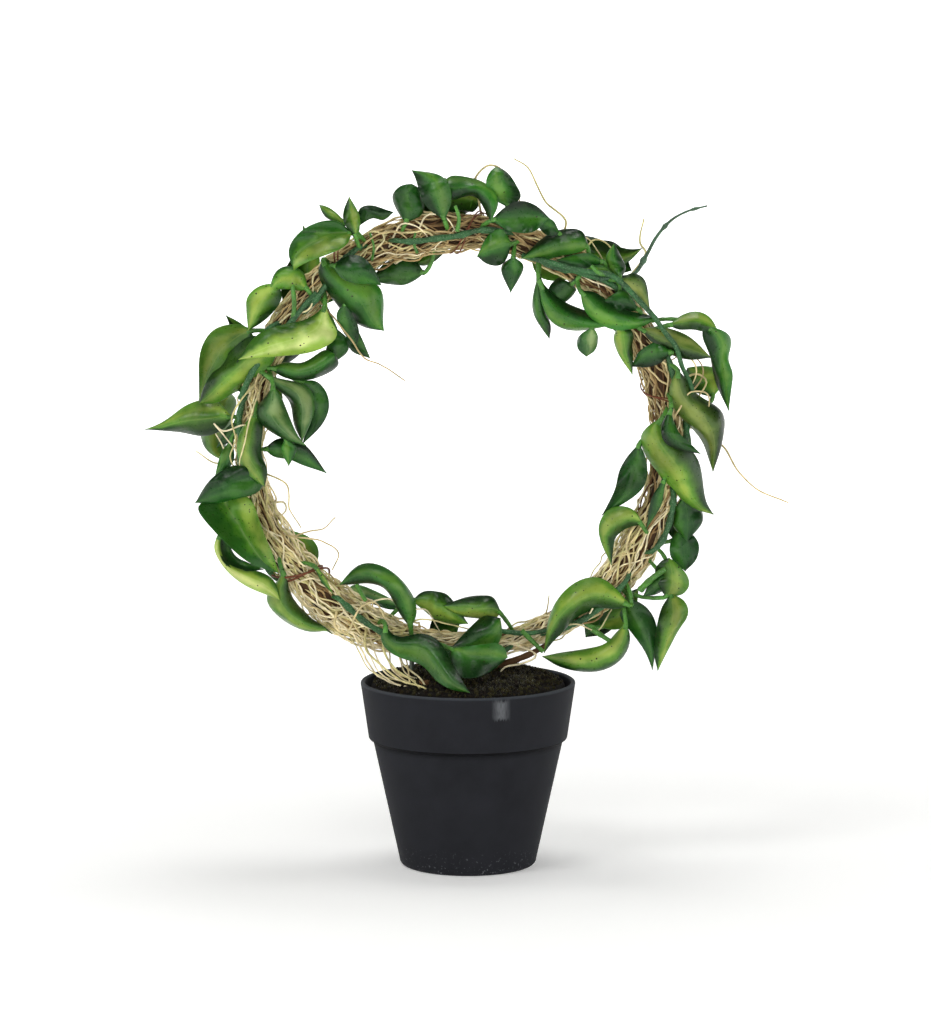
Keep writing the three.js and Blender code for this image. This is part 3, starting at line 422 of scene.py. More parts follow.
VINES: tuple[VinePlan, ...] = (
    VinePlan("vine_right", ((-6, 40), (6, 20), (15, 45), (23, 40), (31, 35)), (
        Leaf("great", Tone.LIGHT, (108, 252, -15), (
            (95.5, 243, 112, 246, -18, 1, 2), (97, 231, 120, 236.5, -22, 2, 3),
            (106, 220, 129.5, 228, -22, 2, 3), (114, 209, 131, 212, -19, 1, 3), (125, 200.5, 132.5, 204, -15),
        ), (136.5, 197.5, -12), 0.28, 0.5),
        Leaf("flap", Tone.DARK, (112.5, 256.5, -22), (
            (107, 246.5, 114.5, 248.5, -27), (108, 239, 118, 242, -29), (114, 234, 122.5, 238, -28),
        ), (129, 231.5, -24), 0.2, -0.4),
        Leaf("olive_face", Tone.OLIVE, (116, 278, -13), (
            (111, 268, 122, 272, -16), (112.5, 258, 127, 262, -17, -2, 3), (120, 249, 143, 256, -13, -3, 4),
            (130, 239, 142.5, 245, -10, 0, 3), (133, 230, 140.5, 234, -8),
        ), (136, 221.5, -6), 0.25, 0.45),
        Leaf("arch", Tone.LIGHT, (111, 303, -11), (
            (117, 308, 117, 300, -12, 2, 2), (126, 311, 125, 300.5, -13, 3, 3),
            (134, 307.5, 132, 299, -11, 2, 2),
        ), (139, 298, -9), 0.3, 0.6),
        Leaf("twisted", Tone.GREEN, (130.5, 303, -9), (
            (129, 297, 144, 299, -11, 2, 2), (132.5, 289.5, 146.5, 292, -8, -3, 3),
            (134.5, 283.5, 143, 284, -7), (135.5, 276.5, 147, 278, -7, 3, 3),
            (138, 268.5, 146, 269, -6, 2, 2),
        ), (144.5, 255.5, -4), -0.2, -0.5),
        Leaf("cross", Tone.OLIVE, (95.5, 300.5, -8), (
            (102.5, 302.5, 100.5, 292.5, -10), (113, 300.5, 111, 286.5, -11, 0, 3),
            (123.5, 296, 121.5, 283.5, -11),
        ), (134.5, 285, -9), 0.15, 0.5),
        Leaf("inner", Tone.DARK, (113, 288, -11), (
            (105, 293, 106, 281.5, -12, 1, 2), (98, 291.5, 98, 279.5, -11, 1, 2),
        ), (90, 280, -9), 0.15, 0.3),
    )),
    VinePlan("vine_upper_right", ((37, 35), (46, 60), (56, 100), (63, 125), (70, 110)), (
        Leaf("long", Tone.GREEN, (66, 346, -13), (
            (63.5, 355, 62, 343, -16, 1, 2), (54, 356, 52, 341, -18, 1, 3), (43, 352.5, 42, 339, -16, 1, 2),
        ), (29.5, 340, -13), 0.22, -0.5),
        Leaf("under", Tone.DARK, (75, 338, -13), (
            (68, 343, 68, 334, -13, 0, 1), (58, 342, 58, 335, -12, 0, 1),
        ), (48, 339, -12)),
        Leaf("upright", Tone.GREEN, (84, 329, -15), (
            (77, 335, 87.5, 334, -16), (76, 341, 84.5, 341, -14, 0, 1),
        ), (80.5, 348, -12), 0.22, 0.4),
        Leaf("olive", Tone.OLIVE, (84, 328, -14), (
            (90, 332, 88, 321, -14, 1, 2), (97.5, 329, 94, 317, -12, 1, 2),
        ), (100.5, 311.5, -10), 0.15, -0.3),
        Leaf("bright", Tone.GREEN, (62, 322, -13), (
            (71, 321.5, 64, 311, -15, 1, 3), (79, 314.5, 72, 303, -17, 1, 3),
            (90, 310.5, 84, 299.5, -17, 1, 3), (98, 309, 96, 302, -15),
        ), (105, 307, -13), 0.28, -0.45),
        Leaf("hanging", Tone.DARK, (39, 331, -6), (
            (35.5, 318, 43, 321, -7), (36, 309, 43.5, 309, -7), (40, 302, 46, 303, -6, 0, 1),
        ), (45, 295.5, -5), 0.2, 0.4),
        Leaf("sweep", Tone.GREEN, (39, 329, -9), (
            (47, 320, 41, 313, -10, 1, 2), (57, 313.5, 47, 303, -12, 1, 3), (67, 310, 58, 298.5, -12, 1, 3),
            (74, 306, 69, 300.5, -11),
        ), (79, 303, -10), 0.25, -0.35),
        Leaf("deep", Tone.DARK, (62, 332, -2), (
            (53, 331, 60, 322, -2, 0, 1), (45, 325, 53, 315, -1, 0, 1),
        ), (43, 316, 0)),
        Leaf("grey", Tone.GREY, (69, 302, -9), (
            (61, 296.5, 72, 297, -10), (60.5, 290, 71, 289.5, -9, 0, 1),
        ), (65.5, 285.5, -8)),
        Leaf("drop", Tone.LIGHT, (85, 304, -13), (
            (80.5, 297, 91.5, 299, -14), (82.5, 288, 91.5, 288, -13),
        ), (91, 275.5, -11), 0.2, 0.5),
        Leaf("side", Tone.LIGHT, (82, 330, -14), (
            (74, 336.5, 73, 330, -15, 0, 1),
        ), (63.5, 334, -14)),
        Leaf("band", Tone.DARK, (95, 311, -12), (
            (86, 322.5, 85, 311, -13),
        ), (74, 316, -12)),
    ), twig=((91, 331, -9), (98, 341, -4), (104, 352, 0), (112, 361, 1), (121, 366, 1), (132, 369, 0))),
    VinePlan("vine_top", ((75, 70), (84, 80), (92, 100), (101, 100), (109, 80)), (
        Leaf("left_dark", Tone.DARK, (-34, 359, -9), (
            (-40.5, 368, -25, 364, -11, 1, 2), (-42, 375, -24, 372, -12), (-37, 380, -27, 378.5, -10, 0, 1),
        ), (-31, 381, -8)),
        Leaf("left_light", Tone.GREEN, (-13, 361, -14), (
            (-23, 368, -9, 371, -16, 1, 2), (-27, 377, -10, 380, -16, 0, 3), (-29, 384, -15, 386, -13),
        ), (-31, 388.5, -11), 0.25, -0.5),
        Leaf("saddle", Tone.GREEN, (-13, 383, -8), (
            (-9, 385.5, -12, 371, -11, 2, 3), (1, 384.5, -1, 374.5, -14, 2, 3),
            (11, 381, 5, 373.5, -15, 1, 3), (17.5, 372, 9, 366.5, -16),
        ), (12.5, 360.5, -16), 0.25, 0.5),
        Leaf("point", Tone.GREEN, (22, 368, -9), (
            (12.5, 374, 29.5, 373.5, -10, 1, 2), (9.5, 382, 27, 380, -10), (12, 388, 22, 387.5, -9),
        ), (15.5, 390.5, -7), -0.15, 0.4),
        Leaf("round", Tone.DARK, (13, 361, -15), (
            (20, 368.5, 21, 356, -18, 1, 3), (28, 372.5, 31, 354, -20, 1, 3), (37, 370, 39, 356.5, -18),
        ), (45, 362, -15), -0.2, -0.3),
        Leaf("tucked", Tone.DARK, (51, 353, -12), (
            (46, 362, 43, 353, -13, 0, 1),
        ), (36, 361, -13)),
        Leaf("curl", Tone.GREEN, (24, 348, -14), (
            (19, 356.5, 20, 337, -17, 0, 3), (11, 353, 12, 336, -17),
        ), (5, 341, -14), 0.2, 0.35),
        Leaf("drip", Tone.DARK, (25, 341, -12), (
            (18, 335, 31, 335.5, -13),
        ), (23.5, 321, -12)),
        Leaf("olive_back", Tone.OLIVE, (-7, 351, 16), (
            (-14, 349, -16, 340, 18, 0, 0), (-25, 347, -25, 335, 18, 0, 0),
        ), (-35, 343, 16)),
        Leaf("low_dark", Tone.DARK, (-24, 332, 5), (
            (-31, 341, -32, 326, 6), (-42, 341, -42, 325, 6),
        ), (-54, 328, 5)),
    )),
    VinePlan("vine_upper_left", ((115, 60), (124, 80), (133, 110), (141, 120)), (
        Leaf("broad", Tone.LIGHT, (-64, 354, -14), (
            (-73, 361.5, -67, 347, -18, 1, -2), (-85, 359.5, -78, 342, -20, 1, -3),
            (-95, 353, -88, 338.5, -18, 0, -3), (-99.5, 344, -94, 335, -15, 0, -2),
        ), (-96, 333, -12), -0.3, 0),
        Leaf("spike", Tone.LIGHT, (-67, 359, -10), (
            (-72, 364.5, -74, 360, -11, 0, 1), (-78, 368.5, -79, 363, -10, 0, 1),
        ), (-82, 369.5, -9), 0.2, 0.3),
        Leaf("bud", Tone.LIGHT, (-62, 352, -16), (
            (-67.5, 358, -59.5, 358, -17), (-69, 365, -60, 365, -14),
        ), (-65.5, 374, -10), -0.2, -0.45),
        Leaf("arch", Tone.DARK, (-61, 357, -4), (
            (-60, 368, -57, 360, -6, 0, 1), (-53, 369.5, -52, 362.5, -7), (-47, 367.5, -47, 360.5, -7, 0, 1),
        ), (-41, 365.5, -6)),
        Leaf("lobe", Tone.GREEN, (-80, 339, -14), (
            (-83.5, 332, -72, 335, -17, 1, 3), (-79, 322, -61, 328, -20, 1, 4),
            (-72.5, 313, -48, 325, -21, 1, 5), (-65, 304, -46.5, 314, -20, 0, 3), (-57, 301, -47, 306, -16),
        ), (-46.5, 300, -13), 0.25, -0.35),
        Leaf("gloss", Tone.DARK, (-75, 336, -18), (
            (-67, 341.5, -70, 329, -24, 1, 2), (-58, 341, -60, 325.5, -27, 1, 3),
            (-51.5, 334, -52, 325.5, -25),
        ), (-48, 325, -22), 0.2, 0),
        Leaf("shade", Tone.DARK, (-68, 316, -13), (
            (-73, 309, -62, 306, -14, 0, 1), (-69, 299, -60, 298, -12, 0, 1),
        ), (-62, 291, -11)),
    )),
    VinePlan("vine_left_top", ((146, 70), (151, 50), (157, 60), (162, 80)), (
        Leaf("pale", Tone.PALE, (-79, 314, -13), (
            (-87, 307, -75.5, 305, -17, 1, 2), (-97, 304, -71, 296, -23, 1, 3),
            (-108, 302, -86, 287, -25, 1, 4), (-118, 297, -104, 285.5, -23, 0, 3),
        ), (-127, 284, -19), 0.2, -0.4),
        Leaf("slant", Tone.LIGHT, (-105, 291, -15), (
            (-119, 298, -108, 281, -16, 0, 3), (-129, 291, -119, 273.5, -13, 0, 4),
            (-138.5, 281, -130, 265, -9, 0, 4), (-146, 270, -139, 259.5, -5, 0, 3),
        ), (-149, 259.5, -2), 0.3, -0.6),
        Leaf("cupped", Tone.LIGHT, (-119, 300, -10), (
            (-128, 304.5, -122, 292, -8, 0, -2), (-140, 302, -127, 283, -4, 0, -4),
            (-148, 291, -134, 274, 0, 0, -4), (-149, 275, -142, 266, 3, 0, -2),
        ), (-149, 261, 5), -0.12, 0.2),
        Leaf("bright", Tone.LIGHT, (-105, 326, -9), (
            (-115, 325, -102.5, 319, -12, 1, 3), (-122.5, 318.5, -106, 312, -14, 1, 4),
            (-122.5, 309, -113, 305, -13, 0, 3),
        ), (-121.5, 300, -12), 0.2, 0.5),
        Leaf("bridge", Tone.LIGHT, (-89, 323, -10), (
            (-90.5, 332, -94, 321.5, -11, 1, 2), (-98, 336, -98, 323, -12, 1, 3),
            (-106.5, 333, -104, 322.5, -12, 1, 2),
        ), (-110, 320, -10)),
        Leaf("ridge", Tone.GREEN, (-109, 279, -12), (
            (-101, 282.5, -103, 274, -15), (-93, 281, -92, 271.5, -17, 0, 3),
            (-85, 285.5, -80, 274, -17, 0, 3), (-79, 289.5, -71, 280.5, -15),
        ), (-74, 287, -13), 0.25, 0.5),
        Leaf("inner", Tone.DARK, (-66, 308, -5), (
            (-60.5, 300, -67.5, 297, -6, 0, 1), (-57, 292, -65, 289, -6, 0, 1),
        ), (-54, 284.5, -5)),
        Leaf("hollow", Tone.DARK, (-74, 302, -8), (
            (-66, 295, -78, 292, -8, 0, 1), (-66.5, 288, -79, 285.5, -8, 0, 1),
        ), (-74, 282.5, -7)),
    )),
    VinePlan("vine_left", ((167, 60), (173, 50), (180, 60), (188, 50), (195, 60)), (
        Leaf("wing", Tone.LIGHT, (-131, 252, -5), (
            (-138, 259.5, -136, 244, -7), (-148, 261, -147, 240, -6, 0, 3),
            (-158, 257.5, -158, 242, -4, 0, 3), (-168, 249.5, -168, 244, -2, 0, 1),
        ), (-179, 245, -1), 0.35, 0.8),
        Leaf("face", Tone.GREY, (-108, 269, -17), (
            (-113, 262, -104, 264, -20, 1, 2), (-120, 253, -101.5, 256, -23, 1, 3),
            (-110, 243, -97.5, 248, -24, 0, 4), (-99, 238, -94.5, 241.5, -22),
        ), (-90, 236, -20), 0.22, -0.35),
        Leaf("loop", Tone.GREY, (-113, 276, -12), (
            (-101, 272, -107, 268, -14, 0, 1), (-89, 269.5, -101.5, 263.5, -16),
            (-84, 260, -98, 256, -17, 0, 3), (-87, 249, -97, 247, -16),
        ), (-92, 238.5, -14), 0.3, 0.35),
        Leaf("rear", Tone.DARK, (-93, 272, -6), (
            (-83, 272, -91, 266, -7, 0, 1), (-76.5, 262, -89, 258, -8), (-79, 250, -89, 249, -7, 0, 1),
        ), (-92, 236.5, -5)),
        Leaf("dart", Tone.DARK, (-113, 234, -11), (
            (-106, 240, -107, 229, -13), (-97, 239.5, -99, 228, -13, 0, 3), (-90, 236.5, -92, 225, -11),
        ), (-78.5, 220.5, -7), 0.25, -0.35),
        Leaf("curve", Tone.LIGHT, (-117.5, 254.5, -15), (
            (-125, 247, -113.5, 248.5, -18, 1, 3), (-128.5, 237.5, -114.5, 239, -20, 1, 4),
            (-128, 228, -115, 229.5, -21, 1, 3), (-122.5, 220, -111, 223, -22),
        ), (-113, 213, -21), 0.3, 0.5),
        Leaf("trough", Tone.DARK, (-113.5, 220, -17), (
            (-121, 224, -114.5, 211, -19, 0, 3), (-129, 225.5, -123.5, 208, -21, 1, 4),
            (-137.5, 222, -133, 205, -21, 1, 4), (-144.5, 216, -141.5, 203.5, -20, 0, 3),
        ), (-151.5, 204, -15), -0.25, 0),
        Leaf("shade", Tone.DARK, (-128, 250, 4), (
            (-134, 246, -129, 240, 5, 0, 1),
        ), (-139.5, 235, 6)),
        Leaf("back_lobe", Tone.GREEN, (-131, 240, -3), (
            (-137, 232, -130, 227, -4, 0, 1),
        ), (-141, 217, -4)),
        Leaf("nib", Tone.GREEN, (-101, 240, -17), (
            (-104, 234, -95, 235, -18, 0, 1),
        ), (-99.5, 224.5, -17)),
    )),
    VinePlan("vine_lower_left", ((201, 40), (206, 30), (212, 20), (219, 10)), (
        Leaf("large", Tone.LIGHT, (-130, 210, -6), (
            (-151, 204, -121, 208, -8, 0, -1), (-147.5, 197, -117, 200, -13, 0, -2),
            (-139, 188, -113.5, 189, -17, 0, -3), (-130, 177, -109.5, 179, -18, 0, -2),
            (-118, 168.5, -107, 171, -16, 0, -1),
        ), (-105.5, 164.5, -13), -0.25, 0),
        Leaf("yellow", Tone.PALE, (-136.5, 188, -13), (
            (-141, 182.5, -138, 182, -13, 0, 1), (-141.5, 177, -137.5, 176, -13),
            (-138.5, 171, -134.5, 170, -14), (-133.5, 163.5, -128.5, 167, -15, 0, 3),
            (-125.5, 157.5, -119.5, 166.5, -16, 0, 4), (-117.5, 153.5, -111.5, 164, -17, 0, 3),
            (-110, 151, -106.5, 158.5, -17),
        ), (-105, 149.5, -15), 0.18, 0.2),
        Leaf("yellow_back", Tone.DARK, (-136, 187, -9), (
            (-138.5, 179, -132.5, 180.5, -8, -2, 0), (-137.5, 173.5, -130.5, 176, -8, -3, 0),
            (-133, 168, -126, 172.5, -9, -3, 0), (-125, 165.5, -120.5, 170, -10, -2, 0),
        ), (-114, 166.5, -12), -0.15, 0),
        Leaf("sickle", Tone.LIGHT, (-103, 168, -9), (
            (-105.5, 160, -99.5, 160, -12, 0, 1), (-114, 151.5, -98.5, 152, -14, 0, 3),
            (-110, 142.5, -93, 144, -14, 0, 3), (-101, 134.5, -86, 138.5, -12, 0, 3),
            (-90, 130.5, -80, 136, -9),
        ), (-74, 133, -5), 0.3, 0.5),
        Leaf("under", Tone.DARK, (-62, 128, 16), (
            (-71, 130, -68, 140, 17, 0, 1), (-80, 136, -76, 148, 17, 0, 1),
        ), (-81, 150, 16)),
        Leaf("tuck", Tone.DARK, (-90, 167, 14), (
            (-99, 165, -91, 157, 14, 0, 1),
        ), (-101, 158, 13)),
    )),
    VinePlan("vine_bottom_left", ((231, 120), (238, 110), (246, 100), (254, 95)), (
        Leaf("arch", Tone.GREEN, (-32, 134, -15), (
            (-39, 142, -28, 142, -19), (-42.5, 150, -31, 153, -22, 0, 3), (-47, 156, -38.5, 162, -24, 0, 3),
            (-55, 158, -48, 168.5, -23, 0, 3), (-63, 157.5, -61, 169.5, -20, 0, 3),
        ), (-71.5, 158, -17), 0.25, -0.3),
        Leaf("olive", Tone.LIGHT, (-31, 149, -4), (
            (-25, 154, -26, 144, -6), (-15, 153.5, -19, 138.5, -8, 0, 3), (-9, 149.5, -11, 135, -10),
        ), (0, 136, -10), 0.2, -0.3),
        Leaf("curled", Tone.GREEN, (-46, 135, -22), (
            (-49.5, 128, -42, 130, -24), (-45, 119, -37, 127, -28, 0, 3), (-33, 115, -26, 132.5, -31, 1, 4),
            (-24.5, 113, -14.5, 127, -36, 0, 4), (-20.5, 105, -9, 113, -42, 0, 3),
            (-10, 98.5, -4, 105.5, -49),
        ), (1, 97, -53), 0.3, 0.35),
        Leaf("sliver", Tone.LIGHT, (-85, 168, -15), (
            (-80.5, 164, -82, 160, -15, 0, 0.5),
        ), (-75, 152.5, -16)),
    )),
    VinePlan("vine_bottom", ((262, 80), (270, 70), (278, 60), (285, 70)), (
        Leaf("rolled", Tone.LIGHT, (18, 142, -10), (
            (14, 151.5, 15, 138, -13, 0, 3), (5, 151, 5, 138, -15, 0, 4), (-5, 149.5, -5, 140, -13, 0, 3),
        ), (-13.5, 146, -11), 0.2, -0.35),
        Leaf("heart_top", Tone.GREEN, (-10, 122, -22), (
            (-4, 128, 1, 116, -24), (3, 135.5, 11, 118, -25, 1, 3), (9, 139.5, 18.5, 125, -25, 1, 3),
            (13.5, 140, 19, 132.5, -23),
        ), (18, 139, -20), 0.25, -0.45),
        Leaf("heart_low", Tone.GREEN, (-9.5, 121.5, -28), (
            (-1, 124, -10.5, 114.5, -33, 2, 2), (7, 125.5, -5, 106.5, -36, 3, 4),
            (15, 126.5, 6.5, 106.5, -36, 3, 4), (20.5, 123, 15.5, 111, -33, 1, 3),
        ), (22, 117, -30), -0.28, 0.45),
    )),
    VinePlan("vine_lower_right", ((292, 85), (300, 70), (308, 60), (316, 65), (323, 70)), (
        Leaf("arch", Tone.LIGHT, (91, 146, -14), (
            (84, 154, 83, 144, -16), (75, 162, 70, 144, -19, 0, 4), (62, 161, 60, 138, -22, 0, 5),
            (52, 152.5, 53, 131, -23, 0, 4), (45, 140, 48, 126, -21),
        ), (42.5, 119.5, -18), 0.35, 0.7),
        Leaf("low", Tone.LIGHT, (88, 136, -16), (
            (83, 131, 91, 127, -18), (78, 124.5, 86.5, 114, -20), (67, 120.5, 72, 107.5, -21, 0, 3),
            (54, 120, 54, 109.5, -19),
        ), (41.5, 117.5, -17), 0.2, 0.2),
        Leaf("hanging", Tone.DARK, (91, 150, -12), (
            (84, 141, 98, 147, -13), (90, 132, 105, 137, -15, 0, 3), (98, 122, 105.5, 125, -15),
        ), (103, 110, -13), 0.3, 0),
        Leaf("pendant", Tone.LIGHT, (113, 153, -13), (
            (108, 145, 121, 149, -16), (105.5, 136, 123.5, 141, -18, 0, 3), (104, 126, 117, 131, -17, 0, 3),
            (104, 117, 111, 119.5, -15),
        ), (106, 109.5, -13), 0.25, -0.35),
        Leaf("cap", Tone.LIGHT, (110, 151, -13), (
            (106, 158, 120.5, 152.5, -15), (104, 166, 124, 159.5, -16, 0, 3), (107, 171, 118, 168.5, -14),
        ), (112, 173, -12), 0.2, -0.5),
    )),
    VinePlan("vine_right_low", ((329, 60), (336, 45), (343, 50), (348, 60)), (
        Leaf("peak", Tone.DARK, (95, 237, -10), (
            (88, 230, 98.5, 230, -11), (83, 221, 99.5, 220, -12, 0, 3), (81, 211, 95, 209.5, -11),
        ), (74.5, 197, -9), -0.3, 0),
        Leaf("crook", Tone.LIGHT, (97, 191, -13), (
            (93, 200, 93, 191, -15), (84, 202.5, 86, 188, -17, 0, 3), (75, 198, 82, 184.5, -16),
            (72, 187, 81, 180, -14),
        ), (80, 169, -12), 0.25, 0.45),
        Leaf("speckled", Tone.DARK, (120, 207, -9), (
            (114, 200, 128.5, 203, -9), (113.5, 191, 131, 194, -9, 0, 3),
        ), (122, 182.5, -8)),
        Leaf("outer", Tone.DARK, (119, 190, -4), (
            (112, 182, 127.5, 184, -5), (113, 173, 128, 174, -5),
        ), (121, 165.5, -5)),
        Leaf("strip", Tone.DARK, (109, 217, -12), (
            (102, 207, 108, 204, -13, 0, 1),
        ), (99, 189, -14)),
        Leaf("tip", Tone.DARK, (112, 164, -12), (
            (104, 163, 108, 153, -13, 0, 1),
        ), (97.5, 151.5, -13)),
    )),
)


class Wood(Enum):
    """Which kind of stem a tube is, by the tint that its material reads."""

    STEM = 0.0
    TWIG = 0.45
    STALK = 1.0


# Leaves on the far side repeat front ones, mirrored to the back: the vine they came from, the leaf, the
# degrees that they are turned round the hoop, and how wide they spread round the bundle, 1 as in front
FAR_SIDE: dict[str, tuple[tuple[str, str, float, float], ...]] = {
    "vine_right": (
        ("vine_lower_right", "cap", 46, 1), ("vine_left", "face", -144, 0.35),
        ("vine_right", "flap", 28, 0.6),
    ),
    "vine_upper_right": (
        ("vine_right", "great", 62, 1), ("vine_top", "round", -24, 1),
        ("vine_upper_right", "bright", 30, 0.35),
    ),
    "vine_top": (
        ("vine_right", "great", 102, 1), ("vine_left_top", "bright", -54, 1),
        ("vine_left", "face", -64, 0.35),
    ),
    "vine_upper_left": (("vine_right", "great", 142, 1), ("vine_upper_right", "sweep", 75, 0.35)),
    "vine_left_top": (("vine_right", "great", 168, 1), ("vine_upper_left", "lobe", 26, 0.35)),
    "vine_left": (("vine_upper_left", "broad", 52, 1), ("vine_left_top", "bridge", 58, 0.6)),
    "vine_lower_left": (("vine_right", "great", 216, 1), ("vine_left_top", "pale", 76, 0.35)),
    "vine_bottom_left": (("vine_right", "inner", 221, 0.5), ("vine_left", "loop", 75, 0.35)),
    "vine_bottom": (("vine_top", "curl", 186, 1), ("vine_left", "dart", 99, -0.2)),
    "vine_lower_right": (
        ("vine_top", "round", 234, 1), ("vine_left_top", "bright", 168, 1), ("vine_left", "face", 113, -0.2),
    ),
    "vine_right_low": (("vine_left_top", "bright", 196, 1), ("vine_lower_right", "low", 51, 0.35)),
}

# Bare stems and stalks as seen: their kind, how thick each is, and its points from where it starts
STUBS: dict[str, tuple[tuple[Wood, float, Way], ...]] = {
    "vine_upper_right": (
        (Wood.STEM, 1.5, (
            (30, 341.5, -9), (48, 337, -16), (63, 333, -18), (78, 331, -18), (86, 325.5, -18), (94, 317, -18),
            (102.5, 308, -17), (108.5, 299.5, -15), (115, 291, -12), (118.5, 280, -9), (122.5, 272, -9),
            (125, 265, -11),
        )),
        (Wood.STALK, 1.2, ((79, 331, -17), (72, 332, -19), (68, 336, -19))),
    ),
    "vine_bottom": (
        (Wood.STEM, 1.4, ((6.5, 133, -5), (17, 132, -9), (32, 130.5, -10), (43, 132, -11), (59, 137, -9))),
    ),
    "vine_left_top": (
        (Wood.STALK, 1.4, ((-97, 303, -11), (-96, 314, -13), (-97, 326, -12))),
        (Wood.STEM, 1.7, (
            (-126, 262, -8), (-120, 276, -12), (-112, 288, -12), (-101, 301, -12), (-92, 312, -12),
            (-84, 321, -9),
        )),
    ),
    "vine_top": (
        (Wood.STALK, 1.1, ((-6, 355, -13), (-5, 362, -15), (-7, 369, -14))),
        (Wood.STALK, 0.8, ((-28, 343, -11), (-30, 349, -13), (-29, 354, -12))),
    ),
    "vine_upper_left": ((Wood.STALK, 0.7, ((-53, 339, -10), (-52, 346, -12), (-54, 354, -11))),),
    "vine_bottom_left": ((Wood.STALK, 1.2, ((-62, 158, -9), (-60, 154, -11), (-57, 149, -10))),),
    "vine_lower_right": (
        (Wood.STALK, 1.4, ((30, 132, -10), (35, 127, -12), (42, 120, -13))),
        (Wood.STALK, 1.4, ((69, 133, -12), (75, 129, -14), (81, 125, -13))),
        (Wood.STALK, 1.8, ((96, 155, -9), (102, 161, -13), (110, 167, -15))),
    ),
}

# Loose roots as seen: [x, z, depth] from where each leaves the bundle
LOOSE_ROOTS: tuple[Way, ...] = (
    ((108, 240, 2), (124, 246, 6), (141, 236, 4), (150, 222, 2), (160, 212, 1), (178, 204, 0)),
    ((8, 358, 4), (6, 372, 8), (4, 384, 8), (11, 391, 5), (17, 390, 3), (23, 383, 2), (31, 366, 3)),
    ((48, 346, 3), (54, 360, 4), (43, 371, 3), (38, 380, 2), (33, 390, 1), (25, 395, 0)),
    ((101, 339, -4), (98, 343, 0), (95, 348, 3), (95, 353, 4), (97, 362, 3)),
    ((-117, 222, 3), (-128, 228, 6), (-140, 226, 5), (-151, 233, 4)),
    ((-106, 205, -5), (-102, 204, -7), (-101, 200, -8), (-105, 196, -5)),
    ((-72, 146, -13), (-74, 134, -18), (-68, 131, -20), (-60, 145, -19), (-52, 148, -17), (-46, 138, -14)),
    ((114, 268, 4), (126, 276, 4), (132, 272, 2), (127, 262, 2)),
    ((-56, 136, -11), (-57, 122, -20), (-48, 112, -30), (-37, 103.5, -38), (-26, 100.5, -41), (-20, 97, -40)),
    ((-48, 130, -12), (-46, 118, -18), (-40, 110, -28), (-30, 103, -36), (-25, 97, -37)),
    ((-38, 124, -8), (-38, 117, -12), (-34, 111, -24), (-26, 104, -33), (-22, 97, -33)),
    ((24, 125, -5), (38, 118, -8), (30, 113.5, -12), (20, 111, -14), (15, 103, -14)),
)

# Thick bare root that lies under the bundle, as seen
OLD_ROOT = ((12, 111, -2), (22, 114, -5), (33, 118, -6), (44, 124, -4))

# Finer roots that stand out of the bundle, as seen, from where each leaves it
WISPS: tuple[Way, ...] = (
    ((-79, 313, -6), (-71, 303, -14), (-64, 294, -20), (-57, 284, -24), (-48, 281, -22), (-35, 272, -18)),
    ((-96, 186, -2), (-88, 188, -6), (-80, 190, -9), (-74, 196, -8)),
    ((38, 134, -6), (44, 144, -4), (45, 152, -2)),
    ((-116, 273, -6), (-122, 266, -17), (-131, 252, -20), (-129, 240, -19), (-132, 230, -17), (-126, 219, -8),
     (-120, 214, -3)),
    ((-113, 268, -6), (-118, 260, -18), (-122, 248, -21), (-124, 236, -20), (-127, 226, -18),
     (-121, 214, -5)),
    ((-117, 247, -6), (-126, 247, -18), (-136, 244, -19), (-141, 249, -17), (-134, 240, -15),
     (-128, 233, -12), (-120, 228, -5)),
    ((-120, 216, -4), (-127, 226, -3), (-134, 232, -3), (-140, 243, -2)),
    ((114, 262, 2), (124, 266, 3), (130, 276, 3), (127, 284, 2), (118, 286, 1), (110, 282, 0)),
    ((112, 248, -6), (117, 256, -15), (124, 266, -13), (133, 264, -9), (131, 252, -5), (117, 245, -3)),
    ((106, 292, -4), (118, 288, -7), (126, 280, -8), (124, 270, -6), (115, 262, -3)),
    ((64, 342, 2), (69, 350, 4), (77, 348, 3), (84, 337, 1)),
    ((52, 340, 0), (58, 353, 3), (67, 350, 4), (76, 336, 2)),
    ((-30, 350, -6), (-22, 364, -12), (-12, 362, -14), (-4, 350, -6)),
    ((-44, 346, -6), (-36, 359, -12), (-26, 356, -13), (-18, 345, -6)),
    ((-64, 340, -6), (-52, 352, -13), (-40, 355, -14), (-28, 346, -12), (-20, 342, -6)),
    ((-98, 188, -6), (-90, 184, -13), (-80, 182, -12), (-72, 176, -10), (-76, 166, -5)),
    ((-108, 222, -5), (-101, 214, -12), (-99, 200, -12), (-93, 190, -6)),
    ((-40, 128, -6), (-28, 138, -15), (-12, 136, -14), (8, 130, -11), (26, 126, -5)),
    ((44, 130, -5), (60, 136, -14), (72, 132, -12), (80, 144, -5)),
    ((-56, 154, -5), (-44, 150, -15), (-34, 144, -16), (-24, 144, -13), (-16, 132, -5)),
)

# Wire ties round the bundle: node, turn round the hoop and slant along it in degrees, and wire radius
TIES = (("tie_left", 220, 5, 0.62), ("tie_upper_left", 125, 3, 0.45), ("tie_top", 88, -3, 0.4),
        ("tie_right", 12, 4, 0.4))


